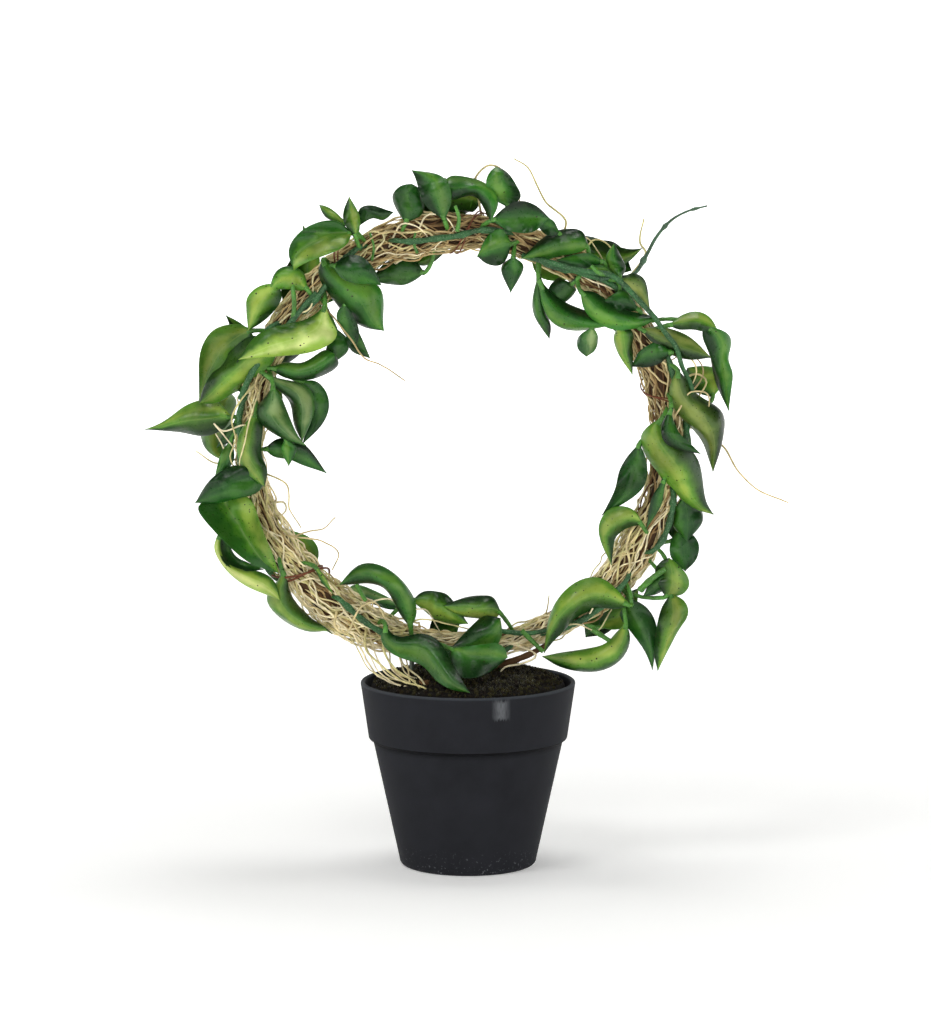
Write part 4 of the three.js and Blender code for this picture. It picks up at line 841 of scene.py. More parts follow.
@dataclass(frozen=True)
class Finish:
    """A material: its name, and what paint adds to the shader."""

    name: str = "finish"

    def make(self) -> Material:
        """Makes the material, with its nodes.

        Returns:
            The material.
        """
        material = bpy.data.materials.new(self.name)
        material.use_nodes = True
        node = partial(add_node, material.node_tree)
        self.paint(node, node("TexCoord").outputs["Object"], material.node_tree.nodes["Principled BSDF"])
        return material

    def paint(self, node: Adder, where: NodeSocket, shader: Node) -> None:
        """Sets the shader's values and links its patterns.

        Args:
            node: Adds a node to the material.
            where: The place on the object.
            shader: The shader that gets what is painted.
        """
        raise NotImplementedError


@dataclass(frozen=True)
class HoyaLeaf(Finish):
    """Fleshy hoya leaf, grown with a waxy skin.

    A pale streak along the midrib that fades through green to a dark edge, cloudy blotches, a few dark
    specks, and a soft gloss that the wax breaks up. Some leaves also get painted shade on one half.
    """

    name: str = "hoya_leaf_waxy"
    blotch: float = 9.0
    mottle: float = 1.5
    cloud: float = 22.0
    speck: float = 2.2
    speck_radius: float = 0.17

    def paint(self, node: Adder, where: NodeSocket, shader: Node) -> None:
        """Paints the blade by its own map across and along, clouded by noise, with painted shade on one half.

        Args:
            node: Adds a node to the material.
            where: The place on the object.
            shader: The shader that gets what is painted.
        """
        uv = node("UVMap", uv_map=BLADE_UV).outputs["UV"]
        along = node("SeparateXYZ", {"Vector": uv})
        side = node("Math", {0: along.outputs["X"], 1: 2.0, 2: -1.0}, operation="MULTIPLY_ADD")
        centre, blade, edge = (
            node("Attribute", attribute_name=f"paint_{part}") for part in ("centre", "blade", "edge"))
        uneven = node("Math", {0: side, 1: blade.outputs["Alpha"]}, operation="ADD")
        reach = node("Math", {0: uneven}, operation="ABSOLUTE")
        middle = node("Math", {0: side}, operation="ABSOLUTE")
        # How far each place is from the middle of the blade, made uneven by blotches
        blotch = node("TexNoise", {"Vector": where, "Scale": per_metre(self.blotch), "Detail": 3.0})
        drift = node("Math", {0: blotch, 1: 1.1, 2: -0.55}, operation="MULTIPLY_ADD")
        ends = node("Math", {0: along.outputs["Y"], 1: 0.42}, operation="SUBTRACT")
        ends = node("Math", {0: ends}, operation="ABSOLUTE")
        ends = node("Math", {0: ends, 1: 0.5, 2: drift}, operation="MULTIPLY_ADD")
        spread = node("Math", {0: reach, 1: ends}, operation="ADD")
        to_blade = node("MapRange", {"Value": spread, **limits(0.0, 0.6)}, interpolation_type="SMOOTHSTEP")
        to_edge = node("MapRange", {"Value": spread, **limits(0.66, 1.15)}, interpolation_type="SMOOTHSTEP")
        colour = centre.outputs["Color"]
        for share, over in ((to_blade, blade), (to_edge, edge)):
            colour = node("Mix", blend(share, colour, over.outputs["Color"]), data_type="RGBA")
        cloud = node("TexNoise", {"Vector": where, "Scale": per_metre(self.cloud), "Detail": 2.0})
        shade = node("MapRange", {"Value": cloud, **limits(0.3, 0.7, 0.62, 1.25)})
        clouded = node("Mix", blend(1.0, colour, shade), data_type="RGBA", blend_type="MULTIPLY")
        # Painted shade on one half of the blade, where the leaf has it, its edge made uneven by the blotches
        half = node("Math", {0: side, 1: edge.outputs["Alpha"]}, operation="MULTIPLY")
        half = node("Math", {0: blotch, 1: 0.3, 2: half}, operation="MULTIPLY_ADD")
        away = node("MapRange", {
            "Value": half, **limits(0.12, 0.42, 1.0, 0.42),
        }, interpolation_type="SMOOTHSTEP")
        clouded = node("Mix", blend(1.0, clouded, away), data_type="RGBA", blend_type="MULTIPLY")
        mottle = node("TexNoise", {"Vector": where, "Scale": per_metre(self.mottle), "Detail": 4.0})
        lightened = node("MapRange", {"Value": mottle, **limits(0.55, 0.85, 0.0, 0.12)})
        mottled = node("Mix", blend(lightened, clouded, "#7f9a5c"), data_type="RGBA", blend_type="SCREEN")
        rib = node("MapRange", {
            "Value": middle, **limits(0.0, 0.07, 0.25, 0.0),
        }, interpolation_type="SMOOTHSTEP")
        ribbed = node("Mix", blend(rib, mottled, centre.outputs["Color"]), data_type="RGBA")
        # Dark specks, in clusters, of chosen cells and with a radius of their own
        cells = node("TexVoronoi", {"Vector": where, "Scale": per_metre(self.speck)})
        size = node("SeparateXYZ", {"Vector": cells.outputs["Color"]})
        clusters = node("Math", {0: cloud, 1: 3.2, 2: -1.1}, operation="MULTIPLY_ADD")
        likely = node("Math", {0: clusters, 1: centre.outputs["Alpha"]}, operation="MULTIPLY")
        chosen = node("Math", {0: size.outputs["X"], 1: likely}, operation="LESS_THAN")
        radius = node("Math", {
            0: size.outputs["Y"], 1: self.speck_radius, 2: 0.08,
        }, operation="MULTIPLY_ADD")
        within = node("Math", {0: cells, 1: radius}, operation="LESS_THAN")
        speck = node("Math", {0: chosen, 1: within}, operation="MULTIPLY")
        speckled = node("Mix", blend(speck, ribbed, "#2b3015"), data_type="RGBA")
        gloss = node("MapRange", {"Value": mottle, **limits(0.3, 0.75, 0.25, 0.45)})
        swell = node("Bump", {"Height": blotch, "Distance": 1.2 * MM, "Strength": 0.6})
        pores = node("Bump", {"Height": mottle, "Distance": 0.12 * MM, "Strength": 0.5, "Normal": swell})
        feed(shader, {
            "Base Color": speckled, "Roughness": gloss, "Normal": pores, "IOR": 1.46,
            "Specular IOR Level": 0.38, "Subsurface Weight": 0.12, "Subsurface Radius": (0.5, 1.0, 0.25),
            "Subsurface Scale": 1.2 * MM,
        })


@dataclass(frozen=True)
class VineSkin(Finish):
    """Young hoya bark, grown: blue-green and warty on the stem, fresh green on the stalks."""

    name: str = "hoya_stem_bark"
    wart: float = 1.1
    patch: float = 7.0

    def paint(self, node: Adder, where: NodeSocket, shader: Node) -> None:
        """Paints from stem to stalk by the tint, with patches and warts.

        Args:
            node: Adds a node to the material.
            where: The place on the object.
            shader: The shader that gets what is painted.
        """
        tint = node("Attribute", attribute_name=TINT).outputs["Fac"]
        ramp = node("ValToRGB", {"Fac": tint}, (
            (Wood.STEM.value, "#26562a"), (Wood.TWIG.value, "#33533a"), (Wood.STALK.value, "#48802a"),
        ))
        patches = node("TexNoise", {"Vector": where, "Scale": per_metre(self.patch), "Detail": 3.0})
        shade = node("MapRange", {"Value": patches, **limits(0.3, 0.7, 0.6, 1.5)})
        shaded = node("Mix", blend(1.0, ramp, shade), data_type="RGBA", blend_type="MULTIPLY")
        warts = node("TexVoronoi", {"Vector": where, "Scale": per_metre(self.wart)})
        dust = node("MapRange", {"Value": warts, **limits(0.0, 0.5, 0.4, 0.0)})
        dusted = node("Mix", blend(dust, shaded, "#86ab7e"), data_type="RGBA")
        bump = node("Bump", {"Height": warts, "Distance": 0.35 * MM, "Strength": 0.8}, invert=True)
        feed(shader, {"Base Color": dusted, "Normal": bump, "Roughness": 0.55})


@dataclass(frozen=True)
class AirRoot(Finish):
    """Dry aerial root, grown and sun-bleached: tan, with brown and yellow-green ones among them."""

    name: str = "air_root_dry"
    streak: float = 5.0
    grain: float = 0.7

    def paint(self, node: Adder, where: NodeSocket, shader: Node) -> None:
        """Paints each root by its tint, with lighter and darker stretches and a fine grain.

        Args:
            node: Adds a node to the material.
            where: The place on the object.
            shader: The shader that gets what is painted.
        """
        tint = node("Attribute", attribute_name=TINT).outputs["Fac"]
        ramp = node("ValToRGB", {"Fac": tint}, (
            (0.0, "#3a2a1d"), (0.2, "#6a4a2b"), (0.42, "#a98f60"), (0.62, "#dccb98"), (0.74, "#ccc486"),
            (0.84, "#eee1bc"), (1.0, "#f3e6be"),
        ))
        streaks = node("TexNoise", {"Vector": where, "Scale": per_metre(self.streak), "Detail": 4.0})
        shade = node("MapRange", {"Value": streaks, **limits(0.3, 0.7, 0.7, 1.35)})
        shaded = node("Mix", blend(1.0, ramp, shade), data_type="RGBA", blend_type="MULTIPLY")
        grain = node("TexNoise", {"Vector": where, "Scale": per_metre(self.grain), "Detail": 2.0})
        bump = node("Bump", {"Height": grain, "Distance": 0.12 * MM, "Strength": 0.6})
        feed(shader, {"Base Color": shaded, "Normal": bump, "Roughness": 0.72, "Specular IOR Level": 0.3})


@dataclass(frozen=True)
class PottingMix(Finish):
    """Damp peat and bark crumbs, heaped: near black, with brown and olive crumbs by their tint."""

    name: str = "potting_mix_damp"
    crumb: float = 2.2

    def paint(self, node: Adder, where: NodeSocket, shader: Node) -> None:
        """Paints crumbs by tint and the ground between them by noise.

        Args:
            node: Adds a node to the material.
            where: The place on the object.
            shader: The shader that gets what is painted.
        """
        tint = node("Attribute", attribute_name=TINT).outputs["Fac"]
        grain = node("TexNoise", {"Vector": where, "Scale": per_metre(self.crumb), "Detail": 5.0})
        mixed = node("Math", {0: grain, 1: 0.5, 2: tint}, operation="MULTIPLY_ADD")
        ramp = node("ValToRGB", {"Fac": mixed}, (
            (0.12, "#0a0705"), (0.4, "#110c07"), (0.62, "#1e150d"), (0.8, "#332c15"), (1.0, "#2e2b14"),
        ))
        bump = node("Bump", {"Height": grain, "Distance": 0.8 * MM, "Strength": 0.9})
        feed(shader, {"Base Color": ramp, "Normal": bump, "Roughness": 0.92, "Specular IOR Level": 0.25})


@dataclass(frozen=True)
class CushionMoss(Finish):
    """Moss, grown on the soil: olive tufts, each a little lighter or darker by its tint."""

    name: str = "moss_olive"

    def paint(self, node: Adder, where: NodeSocket, shader: Node) -> None:
        """Paints each tuft by its tint.

        Args:
            node: Adds a node to the material.
            where: The place on the object.
            shader: The shader that gets what is painted.
        """
        tint = node("Attribute", attribute_name=TINT).outputs["Fac"]
        ramp = node("ValToRGB", {"Fac": tint}, ((0.0, "#15170a"), (1.0, "#4d4c17")))
        feed(shader, {"Base Color": ramp, "Roughness": 0.9, "Sheen Weight": 0.2})


@dataclass(frozen=True)
class PotPlastic(Finish):
    """Polypropylene nursery pot, injection moulded: charcoal black, with a fine satin grain.

    Handling has left faint cloudy rub marks and pale dust near the foot. It also has a pale streaked patch on
    the rim band, a lighter line along the rim's top edge, and painted shade in the corner under the band.
    """

    name: str = "polypropylene_black_moulded"
    grain: float = 0.6
    rub: float = 26.0
    dust: float = 1.3
    pale_patch_centre: Pair = (18.1, 96.8)
    pale_patch_half: Pair = (4.9, 6.2)
    stroke: float = 0.8
    step_height: float = 72.0
    rim_height: float = 103.6
    foot_height: float = 16.0

    def paint(self, node: Adder, where: NodeSocket, shader: Node) -> None:
        """Paints the moulded colour, then rub marks, dust, the pale patch, the lighter rim and painted shade.

        Args:
            node: Adds a node to the material.
            where: The place on the object.
            shader: The shader that gets what is painted.
        """
        place = node("SeparateXYZ", {"Vector": where}).outputs
        rub = node("TexNoise", {
            "Vector": where, "Scale": per_metre(self.rub), "Detail": 6.0, "Roughness": 0.6,
        })
        colour = node("Mix", blend(rub, "#1c1d20", "#2c2d32"), data_type="RGBA")
        # A lighter line along the top edge of the rim
        lightened = node("MapRange", {
            "Value": place["Z"], **limits((self.rim_height - 1.2) * MM, self.rim_height * MM, 0.0, 0.4),
        })
        # Layers: dust, the pale patch, the lighter rim line, and painted shade in the corner under the band
        for share, over in (
            (self.dusty(node, where, place), "#8a8d90"), (self.pale_patch(node, where, place), "#8d9094"),
            (lightened, "#5d6268"), (self.painted_shade_under_band(node, place), "#060606"),
        ):
            colour = node("Mix", blend(share, colour, over), data_type="RGBA")
        gloss = node("MapRange", {"Value": rub, **limits(0.3, 0.7, 0.55, 0.7)})
        grain = node("TexNoise", {"Vector": where, "Scale": per_metre(self.grain), "Detail": 2.0})
        bump = node("Bump", {"Height": grain, "Distance": 0.1 * MM, "Strength": 0.5})
        feed(shader, {
            "Base Color": colour, "Roughness": gloss, "Normal": bump, "IOR": 1.49,
            "Specular IOR Level": 0.05,
        })

    def dusty(self, node: Adder, where: NodeSocket, place: Any) -> Node:
        """Gives the share of pale flecks of dust, most at the foot.

        Args:
            node: Adds a node to the material.
            where: The place on the object.
            place: The place's three numbers, by axis.

        Returns:
            The node that gives the share.
        """
        dust = node("TexNoise", {"Vector": where, "Scale": per_metre(self.dust), "Detail": 3.0})
        low = node("MapRange", {"Value": place["Z"], **limits(1 * MM, self.foot_height * MM, 0.5, 0.0)})
        flecks = node("MapRange", {"Value": dust, **limits(0.62, 0.74)})
        return node("Math", {0: low, 1: flecks}, operation="MULTIPLY")

    def pale_patch(self, node: Adder, where: NodeSocket, place: Any) -> Node:
        """Gives the share of a pale patch, drawn down the front of the rim band in streaks.

        Args:
            node: Adds a node to the material.
            where: The place on the object.
            place: The place's three numbers, by axis.

        Returns:
            The node that gives the share.
        """
        half_wide, half_high = (half * MM for half in self.pale_patch_half)
        aside = node("Math", {0: place["X"], 1: self.pale_patch_centre[0] * MM}, operation="SUBTRACT")
        aside = node("Math", {0: aside}, operation="ABSOLUTE")
        beyond = node("MapRange", {"Value": aside, **limits(0.3 * half_wide, 1.1 * half_wide, 1.0, 0.0)})
        drawn = node("VectorMath", {0: where, 1: (1, 1, 0.12)}, operation="MULTIPLY")
        strokes = node("TexNoise", {"Vector": drawn, "Scale": per_metre(self.stroke), "Detail": 3.0})
        height = node("Math", {0: place["Z"], 1: self.pale_patch_centre[1] * MM}, operation="SUBTRACT")
        height = node("Math", {0: height}, operation="ABSOLUTE")
        height = node("Math", {0: strokes, 1: half_high, 2: height}, operation="MULTIPLY_ADD")
        above = node("MapRange", {"Value": height, **limits(1.2 * half_high, 1.5 * half_high, 1.0, 0.0)})
        front = node("Math", {0: place["Y"], 1: 0.0}, operation="LESS_THAN")
        patch = node("Math", {0: beyond, 1: above}, operation="MULTIPLY")
        patch = node("Math", {0: patch, 1: front}, operation="MULTIPLY")
        streaks = node("MapRange", {"Value": strokes, **limits(0.3, 0.7, 0.22, 0.44)})
        return node("Math", {0: patch, 1: streaks}, operation="MULTIPLY")

    def painted_shade_under_band(self, node: Adder, place: Any) -> Node:
        """Gives the share of painted shade in the corner under the rim band, where the band steps out.

        Args:
            node: Adds a node to the material.
            place: The place's three numbers, by axis.

        Returns:
            The node that gives the share.
        """
        # Painted shade: darker towards the step under the band, and none above it
        corner = node("MapRange", {
            "Value": place["Z"],
            **limits((self.step_height - 4) * MM, (self.step_height - 0.5) * MM, 0.0, 0.75),
        })
        below = node("Math", {0: place["Z"], 1: (self.step_height + 0.5) * MM}, operation="LESS_THAN")
        return node("Math", {0: corner, 1: below}, operation="MULTIPLY")


@dataclass(frozen=True)
class CopperTie(Finish):
    """Copper-coated tie wire, drawn and tarnished: dull red-brown, with lighter patches of copper."""

    name: str = "copper_wire_tarnished"
    tarnish: float = 2.0

    def paint(self, node: Adder, where: NodeSocket, shader: Node) -> None:
        """Paints bare copper under patches of dark tarnish.

        Args:
            node: Adds a node to the material.
            where: The place on the object.
            shader: The shader that gets what is painted.
        """
        patches = node("TexNoise", {"Vector": where, "Scale": per_metre(self.tarnish), "Detail": 4.0})
        colour = node("Mix", blend(patches, "#4f2a1a", "#8a4f30"), data_type="RGBA")
        feed(shader, {"Base Color": colour, "Metallic": 0.35, "Roughness": 0.5})


@dataclass(frozen=True)
class CoatedWire(Finish):
    """Steel wire, coated with green-grey plastic by dipping: dull, with a slightly uneven skin."""

    name: str = "steel_wire_plastic_coated"
    ripple: float = 3.0

    def paint(self, node: Adder, where: NodeSocket, shader: Node) -> None:
        """Paints the coating with a slow change of colour and a low ripple.

        Args:
            node: Adds a node to the material.
            where: The place on the object.
            shader: The shader that gets what is painted.
        """
        ripple = node("TexNoise", {"Vector": where, "Scale": per_metre(self.ripple), "Detail": 2.0})
        colour = node("Mix", blend(ripple, "#39443a", "#5d6a58"), data_type="RGBA")
        bump = node("Bump", {"Height": ripple, "Distance": 0.1 * MM, "Strength": 0.5})
        feed(shader, {"Base Color": colour, "Normal": bump, "Roughness": 0.45})


@dataclass(frozen=True)
class StudioFloor(Finish):
    """Matt white acrylic, lit from below: an even pale ground with no pattern, brighter further out."""

    name: str = "acrylic_white_backlit"

    def paint(self, node: Adder, where: NodeSocket, shader: Node) -> None:
        """Sets a plain pale grey that glows more with the distance.

        Args:
            node: Adds a node to the material.
            where: The place on the object.
            shader: The shader that gets what is painted.
        """
        away = node("VectorMath", {0: where}, operation="LENGTH")
        glow = node("MapRange", {"Value": away, **limits(0.1, 1.6, 0.3)})
        feed(shader, {
            "Base Color": linear("#f4f4f2"), "Roughness": 0.95, "Specular IOR Level": 0.1,
            "Emission Color": (1, 1, 1, 1), "Emission Strength": glow,
        })


def finished(piece: Object, slot: str, *nodes: str) -> Object:
    """Puts a finished piece on the part's body.

    Args:
        piece: The piece, in place.
        slot: The name of a material slot; not used.
        nodes: The nodes of the frame that it stands for.

    Returns:
        The same piece.
    """
    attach(piece, ROOT_BODY)
    if nodes:
        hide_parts(*nodes)
    log.info("%s: %d vertices", piece.name, len(piece.data.vertices))
    return piece


def new_object(name: str, mesh: Mesh) -> Object:
    """Adds an object for a mesh at the origin.

    Args:
        name: The object's name.
        mesh: The mesh.

    Returns:
        The object.
    """
    piece = bpy.data.objects.new(name, mesh)
    bpy.context.scene.collection.objects.link(piece)
    return piece


def mesh_from(name: str, points: Array, faces: Sequence[Sequence[int]], material: Material) -> Mesh:
    """Makes a smooth mesh from places in millimetres.

    Args:
        name: The mesh's name.
        points: One row for each vertex, in millimetres.
        faces: The vertices of each face.
        material: The material of every face.

    Returns:
        The mesh, in metres.
    """
    mesh = bpy.data.meshes.new(name)
    mesh.from_pydata((np.asarray(points) * MM).tolist(), [], [list(map(int, face)) for face in faces])
    mesh.materials.append(material)
    mesh.shade_smooth()
    return mesh


def tag(mesh: Mesh, key: str, values: Sequence[float]) -> None:
    """Gives a mesh an attribute with one number for each vertex."""
    mesh.attributes.new(key, "FLOAT", "POINT").data.foreach_set("value", values)


def apply_modifiers(piece: Object, name: str) -> None:
    """Turns a piece with modifiers into a plain mesh with none, and drops the mesh that it had.

    Args:
        piece: The piece.
        name: The name of its new mesh.
    """
    before = piece.data
    evaluated = piece.evaluated_get(bpy.context.evaluated_depsgraph_get())
    mesh = bpy.data.meshes.new_from_object(evaluated)
    piece.modifiers.clear()
    piece.data = mesh
    bpy.data.meshes.remove(before)
    mesh.name = name


class NodeTool:
    """A Geometry Nodes tree with named inputs, and its use on an object."""

    def __init__(self, name: str, inputs: dict[str, str]) -> None:
        """Starts the tree with its inputs.

        Args:
            name: The tree's name.
            inputs: Each input's name and kind of socket, after the geometry.
        """
        self.tree = bpy.data.node_groups.new(name, "GeometryNodeTree")
        face = self.tree.interface
        face.new_socket("Geometry", in_out="INPUT", socket_type="NodeSocketGeometry")
        self.sockets = {
            key: face.new_socket(key, in_out="INPUT", socket_type=kind).identifier
            for key, kind in inputs.items()
        }
        face.new_socket("Geometry", in_out="OUTPUT", socket_type="NodeSocketGeometry")
        self.given = self.tree.nodes.new("NodeGroupInput").outputs

    def end(self, geometry: Node) -> None:
        """Ends the tree: instances made real, shaded smooth, in the material that was given.

        Args:
            geometry: The node that gives the shape.
        """
        node = partial(add_node, self.tree)
        real = node("RealizeInstances", {"Geometry": geometry})
        smooth = node("SetShadeSmooth", {"Geometry": real})
        dressed = node("SetMaterial", {"Geometry": smooth, "Material": self.given["Material"]})
        node("NodeGroupOutput", {0: dressed})

    def run(self, name: str, guide: Mesh, values: dict[str, Any]) -> Object:
        """Runs the tree on a guide mesh and keeps the result as a plain mesh.

        Args:
            name: The finished piece's name.
            guide: The mesh that the tree works on.
            values: A value for each named input.

        Returns:
            The piece, with no modifier left.
        """
        piece = new_object(name, guide)
        modifier = piece.modifiers.new(self.tree.name, "NODES")
        modifier.node_group = self.tree
        for key, value in values.items():
            modifier[self.sockets[key]] = value
        apply_modifiers(piece, name)
        return piece


class PathTubes(NodeTool):
    """Tubes along guide lines, for roots, stems, stalks and ties.

    Each guide point holds its own thickness in millimetres, its tint, and how loosely it lies.
    """

    def __init__(self) -> None:
        """Builds the tree: spaced points, a wander by noise, and a round tube with an uneven skin."""
        super().__init__("tubes_along_paths", {
            "Sides": "NodeSocketInt", "Spacing": "NodeSocketFloat", "Wander": "NodeSocketFloat",
            "Wander Size": "NodeSocketFloat", "Knobble": "NodeSocketFloat", "Knobble Size": "NodeSocketFloat",
            "Material": "NodeSocketMaterial",
        })
        node, given = partial(add_node, self.tree), self.given
        thick, tint, loose = (
            node("InputNamedAttribute", {"Name": key}, data_type="FLOAT") for key in (THICK, TINT, LOOSE))
        curves = node("MeshToCurve", {"Mesh": given["Geometry"]})
        spaced = node("ResampleCurve", {"Curve": curves, "Length": given["Spacing"]}, mode="LENGTH")
        place = node("InputPosition")
        apart = node("Math", {0: tint, 1: 40.0}, operation="MULTIPLY")
        wander = node("TexNoise", {
            "Vector": place, "W": apart, "Scale": given["Wander Size"], "Detail": 1.0,
        }, noise_dimensions="4D")
        centred = node("VectorMath", {0: wander.outputs["Color"], 1: (0.5, 0.5, 0.5)}, operation="SUBTRACT")
        reach = node("Math", {0: given["Wander"], 1: loose}, operation="MULTIPLY")
        offset = node("VectorMath", {0: centred, "Scale": reach}, operation="SCALE")
        strayed = node("SetPosition", {"Geometry": spaced, "Offset": offset})
        lumps = node("TexNoise", {
            "Vector": place, "W": apart, "Scale": given["Knobble Size"], "Detail": 1.0,
        }, noise_dimensions="4D")
        lump = node("Math", {0: lumps, 1: 0.5}, operation="SUBTRACT")
        uneven = node("Math", {0: lump, 1: given["Knobble"], 2: 1.0}, operation="MULTIPLY_ADD")
        girth = node("Math", {0: thick, 1: uneven}, operation="MULTIPLY")
        ring = node("CurvePrimitiveCircle", {"Resolution": given["Sides"], "Radius": MM})
        tubes = node("CurveToMesh", {
            "Curve": strayed, "Profile Curve": ring, "Scale": girth, "Fill Caps": True,
        })
        self.end(tubes)


class SurfaceScatter(NodeTool):
    """Small shapes scattered over a surface, for crumbs and moss, each with a tint of its own."""

    def __init__(self) -> None:
        """Builds the tree: seeded points, a turned and scaled copy on each, and a random tint."""
        super().__init__("scatter_on_surface", {
            "Shape": "NodeSocketObject", "Density": "NodeSocketFloat", "Smallest": "NodeSocketVector",
            "Largest": "NodeSocketVector", "Lean": "NodeSocketFloat", "Patches": "NodeSocketFloat",
            "Bareness": "NodeSocketFloat", "Seed": "NodeSocketInt", "Material": "NodeSocketMaterial",
        })
        node, given = partial(add_node, self.tree), self.given
        patches = node("TexNoise", {"Scale": given["Patches"], "Detail": 1.0})
        grown = node("Math", {0: patches, 1: given["Bareness"]}, operation="GREATER_THAN")
        density = node("Math", {0: given["Density"], 1: grown}, operation="MULTIPLY")
        points = node("DistributePointsOnFaces", {
            "Mesh": given["Geometry"], "Density": density, "Seed": given["Seed"],
        })
        shape = node("ObjectInfo", {"Object": given["Shape"]})
        scale = node("RandomValue", {
            0: given["Smallest"], 1: given["Largest"], "Seed": given["Seed"],
        }, data_type="FLOAT_VECTOR")
        least = node("Math", {0: given["Lean"], 1: -1.0}, operation="MULTIPLY")
        low = node("CombineXYZ", {"X": least, "Y": least, "Z": -math.pi})
        high = node("CombineXYZ", {"X": given["Lean"], "Y": given["Lean"], "Z": math.pi})
        turn = node("RandomValue", {0: low, 1: high, "Seed": given["Seed"]}, data_type="FLOAT_VECTOR")
        leaning = node("EulerToRotation", {0: turn})
        copies = node("InstanceOnPoints", {
            "Points": points, "Instance": shape.outputs["Geometry"], "Rotation": leaning, "Scale": scale,
        })
        tint = node("RandomValue", {"Seed": given["Seed"]}, data_type="FLOAT")
        tinted = node("StoreNamedAttribute", {
            "Geometry": copies, "Name": TINT, "Value": tint,
        }, data_type="FLOAT", domain="INSTANCE")
        self.end(tinted)


@dataclass
class GuideLines:
    """Lines that tubes follow, each with its thickness, tint and looseness at every point."""

    points: list[Array] = field(default_factory=list)
    thick: list[float] = field(default_factory=list)
    tint: list[float] = field(default_factory=list)
    loose: list[float] = field(default_factory=list)
    edges: list[tuple[int, int]] = field(default_factory=list)

    def add(self, line: Array, thick: Any, tint: float, loose: Any = 0.0) -> None:
        """Adds one line.

        Args:
            line: Its places, in millimetres.
            thick: Its radius in millimetres, one for all or one for each place.
            tint: Its tint, from 0 to 1.
            loose: How far noise moves it, from 0 to 1, one for all or one for each place.
        """
        first = len(self.points)
        count = len(line)
        self.points.extend(line)
        self.thick.extend(np.broadcast_to(thick, count).tolist())
        self.tint.extend([tint] * count)
        self.loose.extend(np.broadcast_to(loose, count).tolist())
        self.edges.extend((first + i, first + i + 1) for i in range(count - 1))

    def mesh(self, name: str) -> Mesh:
        """Makes the guide mesh, which holds only points and edges.

        Args:
            name: The name of the piece.

        Returns:
            The mesh.
        """
        mesh = bpy.data.meshes.new(name + "_guide")
        mesh.from_pydata((np.array(self.points) * MM).tolist(), self.edges, [])
        for key, values in ((THICK, self.thick), (TINT, self.tint), (LOOSE, self.loose)):
            tag(mesh, key, values)
        return mesh


@dataclass
class Blades:
    """The leaves of one vine, gathered in one mesh with their map and their paints."""

    points: list[Array] = field(default_factory=list)
    faces: Faces = field(default_factory=list)
    maps: list[Array] = field(default_factory=list)
    paints: dict[str, list[Array]] = field(default_factory=lambda: {"centre": [], "blade": [], "edge": []})
    count: int = 0

    def add(self, points: Array, faces: Faces, uv: Array, paint: dict[str, Array]) -> None:
        """Adds one closed leaf, turned inside out first if its faces point inwards.

        Args:
            points: Its places, in millimetres.
            faces: The vertices of each face.
            uv: Each vertex's place on the blade's map.
            paint: Its colours, by part.
        """
        corners = np.array([face[:3] for face in faces])
        a, b, c = (points[corners[:, k]] for k in range(3))
        if np.einsum("ij,ij->i", a, np.cross(b, c)).sum() < 0:
            faces = [face[::-1] for face in faces]
        self.faces.extend(tuple(v + self.count for v in face) for face in faces)
        self.points.append(points)
        self.maps.append(uv)
        for key, colour in paint.items():
            self.paints[key].append(np.tile(colour, (len(points), 1)))
        self.count += len(points)

    def mesh(self, name: str, material: Material) -> Mesh:
        """Makes the mesh, with the map and the paints on it.

        Args:
            name: The mesh's name.
            material: The leaf's material.

        Returns:
            The mesh.
        """
        mesh = mesh_from(name, np.vstack(self.points), self.faces, material)
        corners = np.empty(len(mesh.loops), int)
        mesh.loops.foreach_get("vertex_index", corners)
        uv = mesh.uv_layers.new(name=BLADE_UV)
        uv.data.foreach_set("uv", np.vstack(self.maps)[corners].astype(np.float32).ravel())
        for key, colours in self.paints.items():
            layer = mesh.color_attributes.new(f"paint_{key}", "FLOAT_COLOR", "POINT")
            layer.data.foreach_set("color", np.vstack(colours).astype(np.float32).ravel())
        return mesh


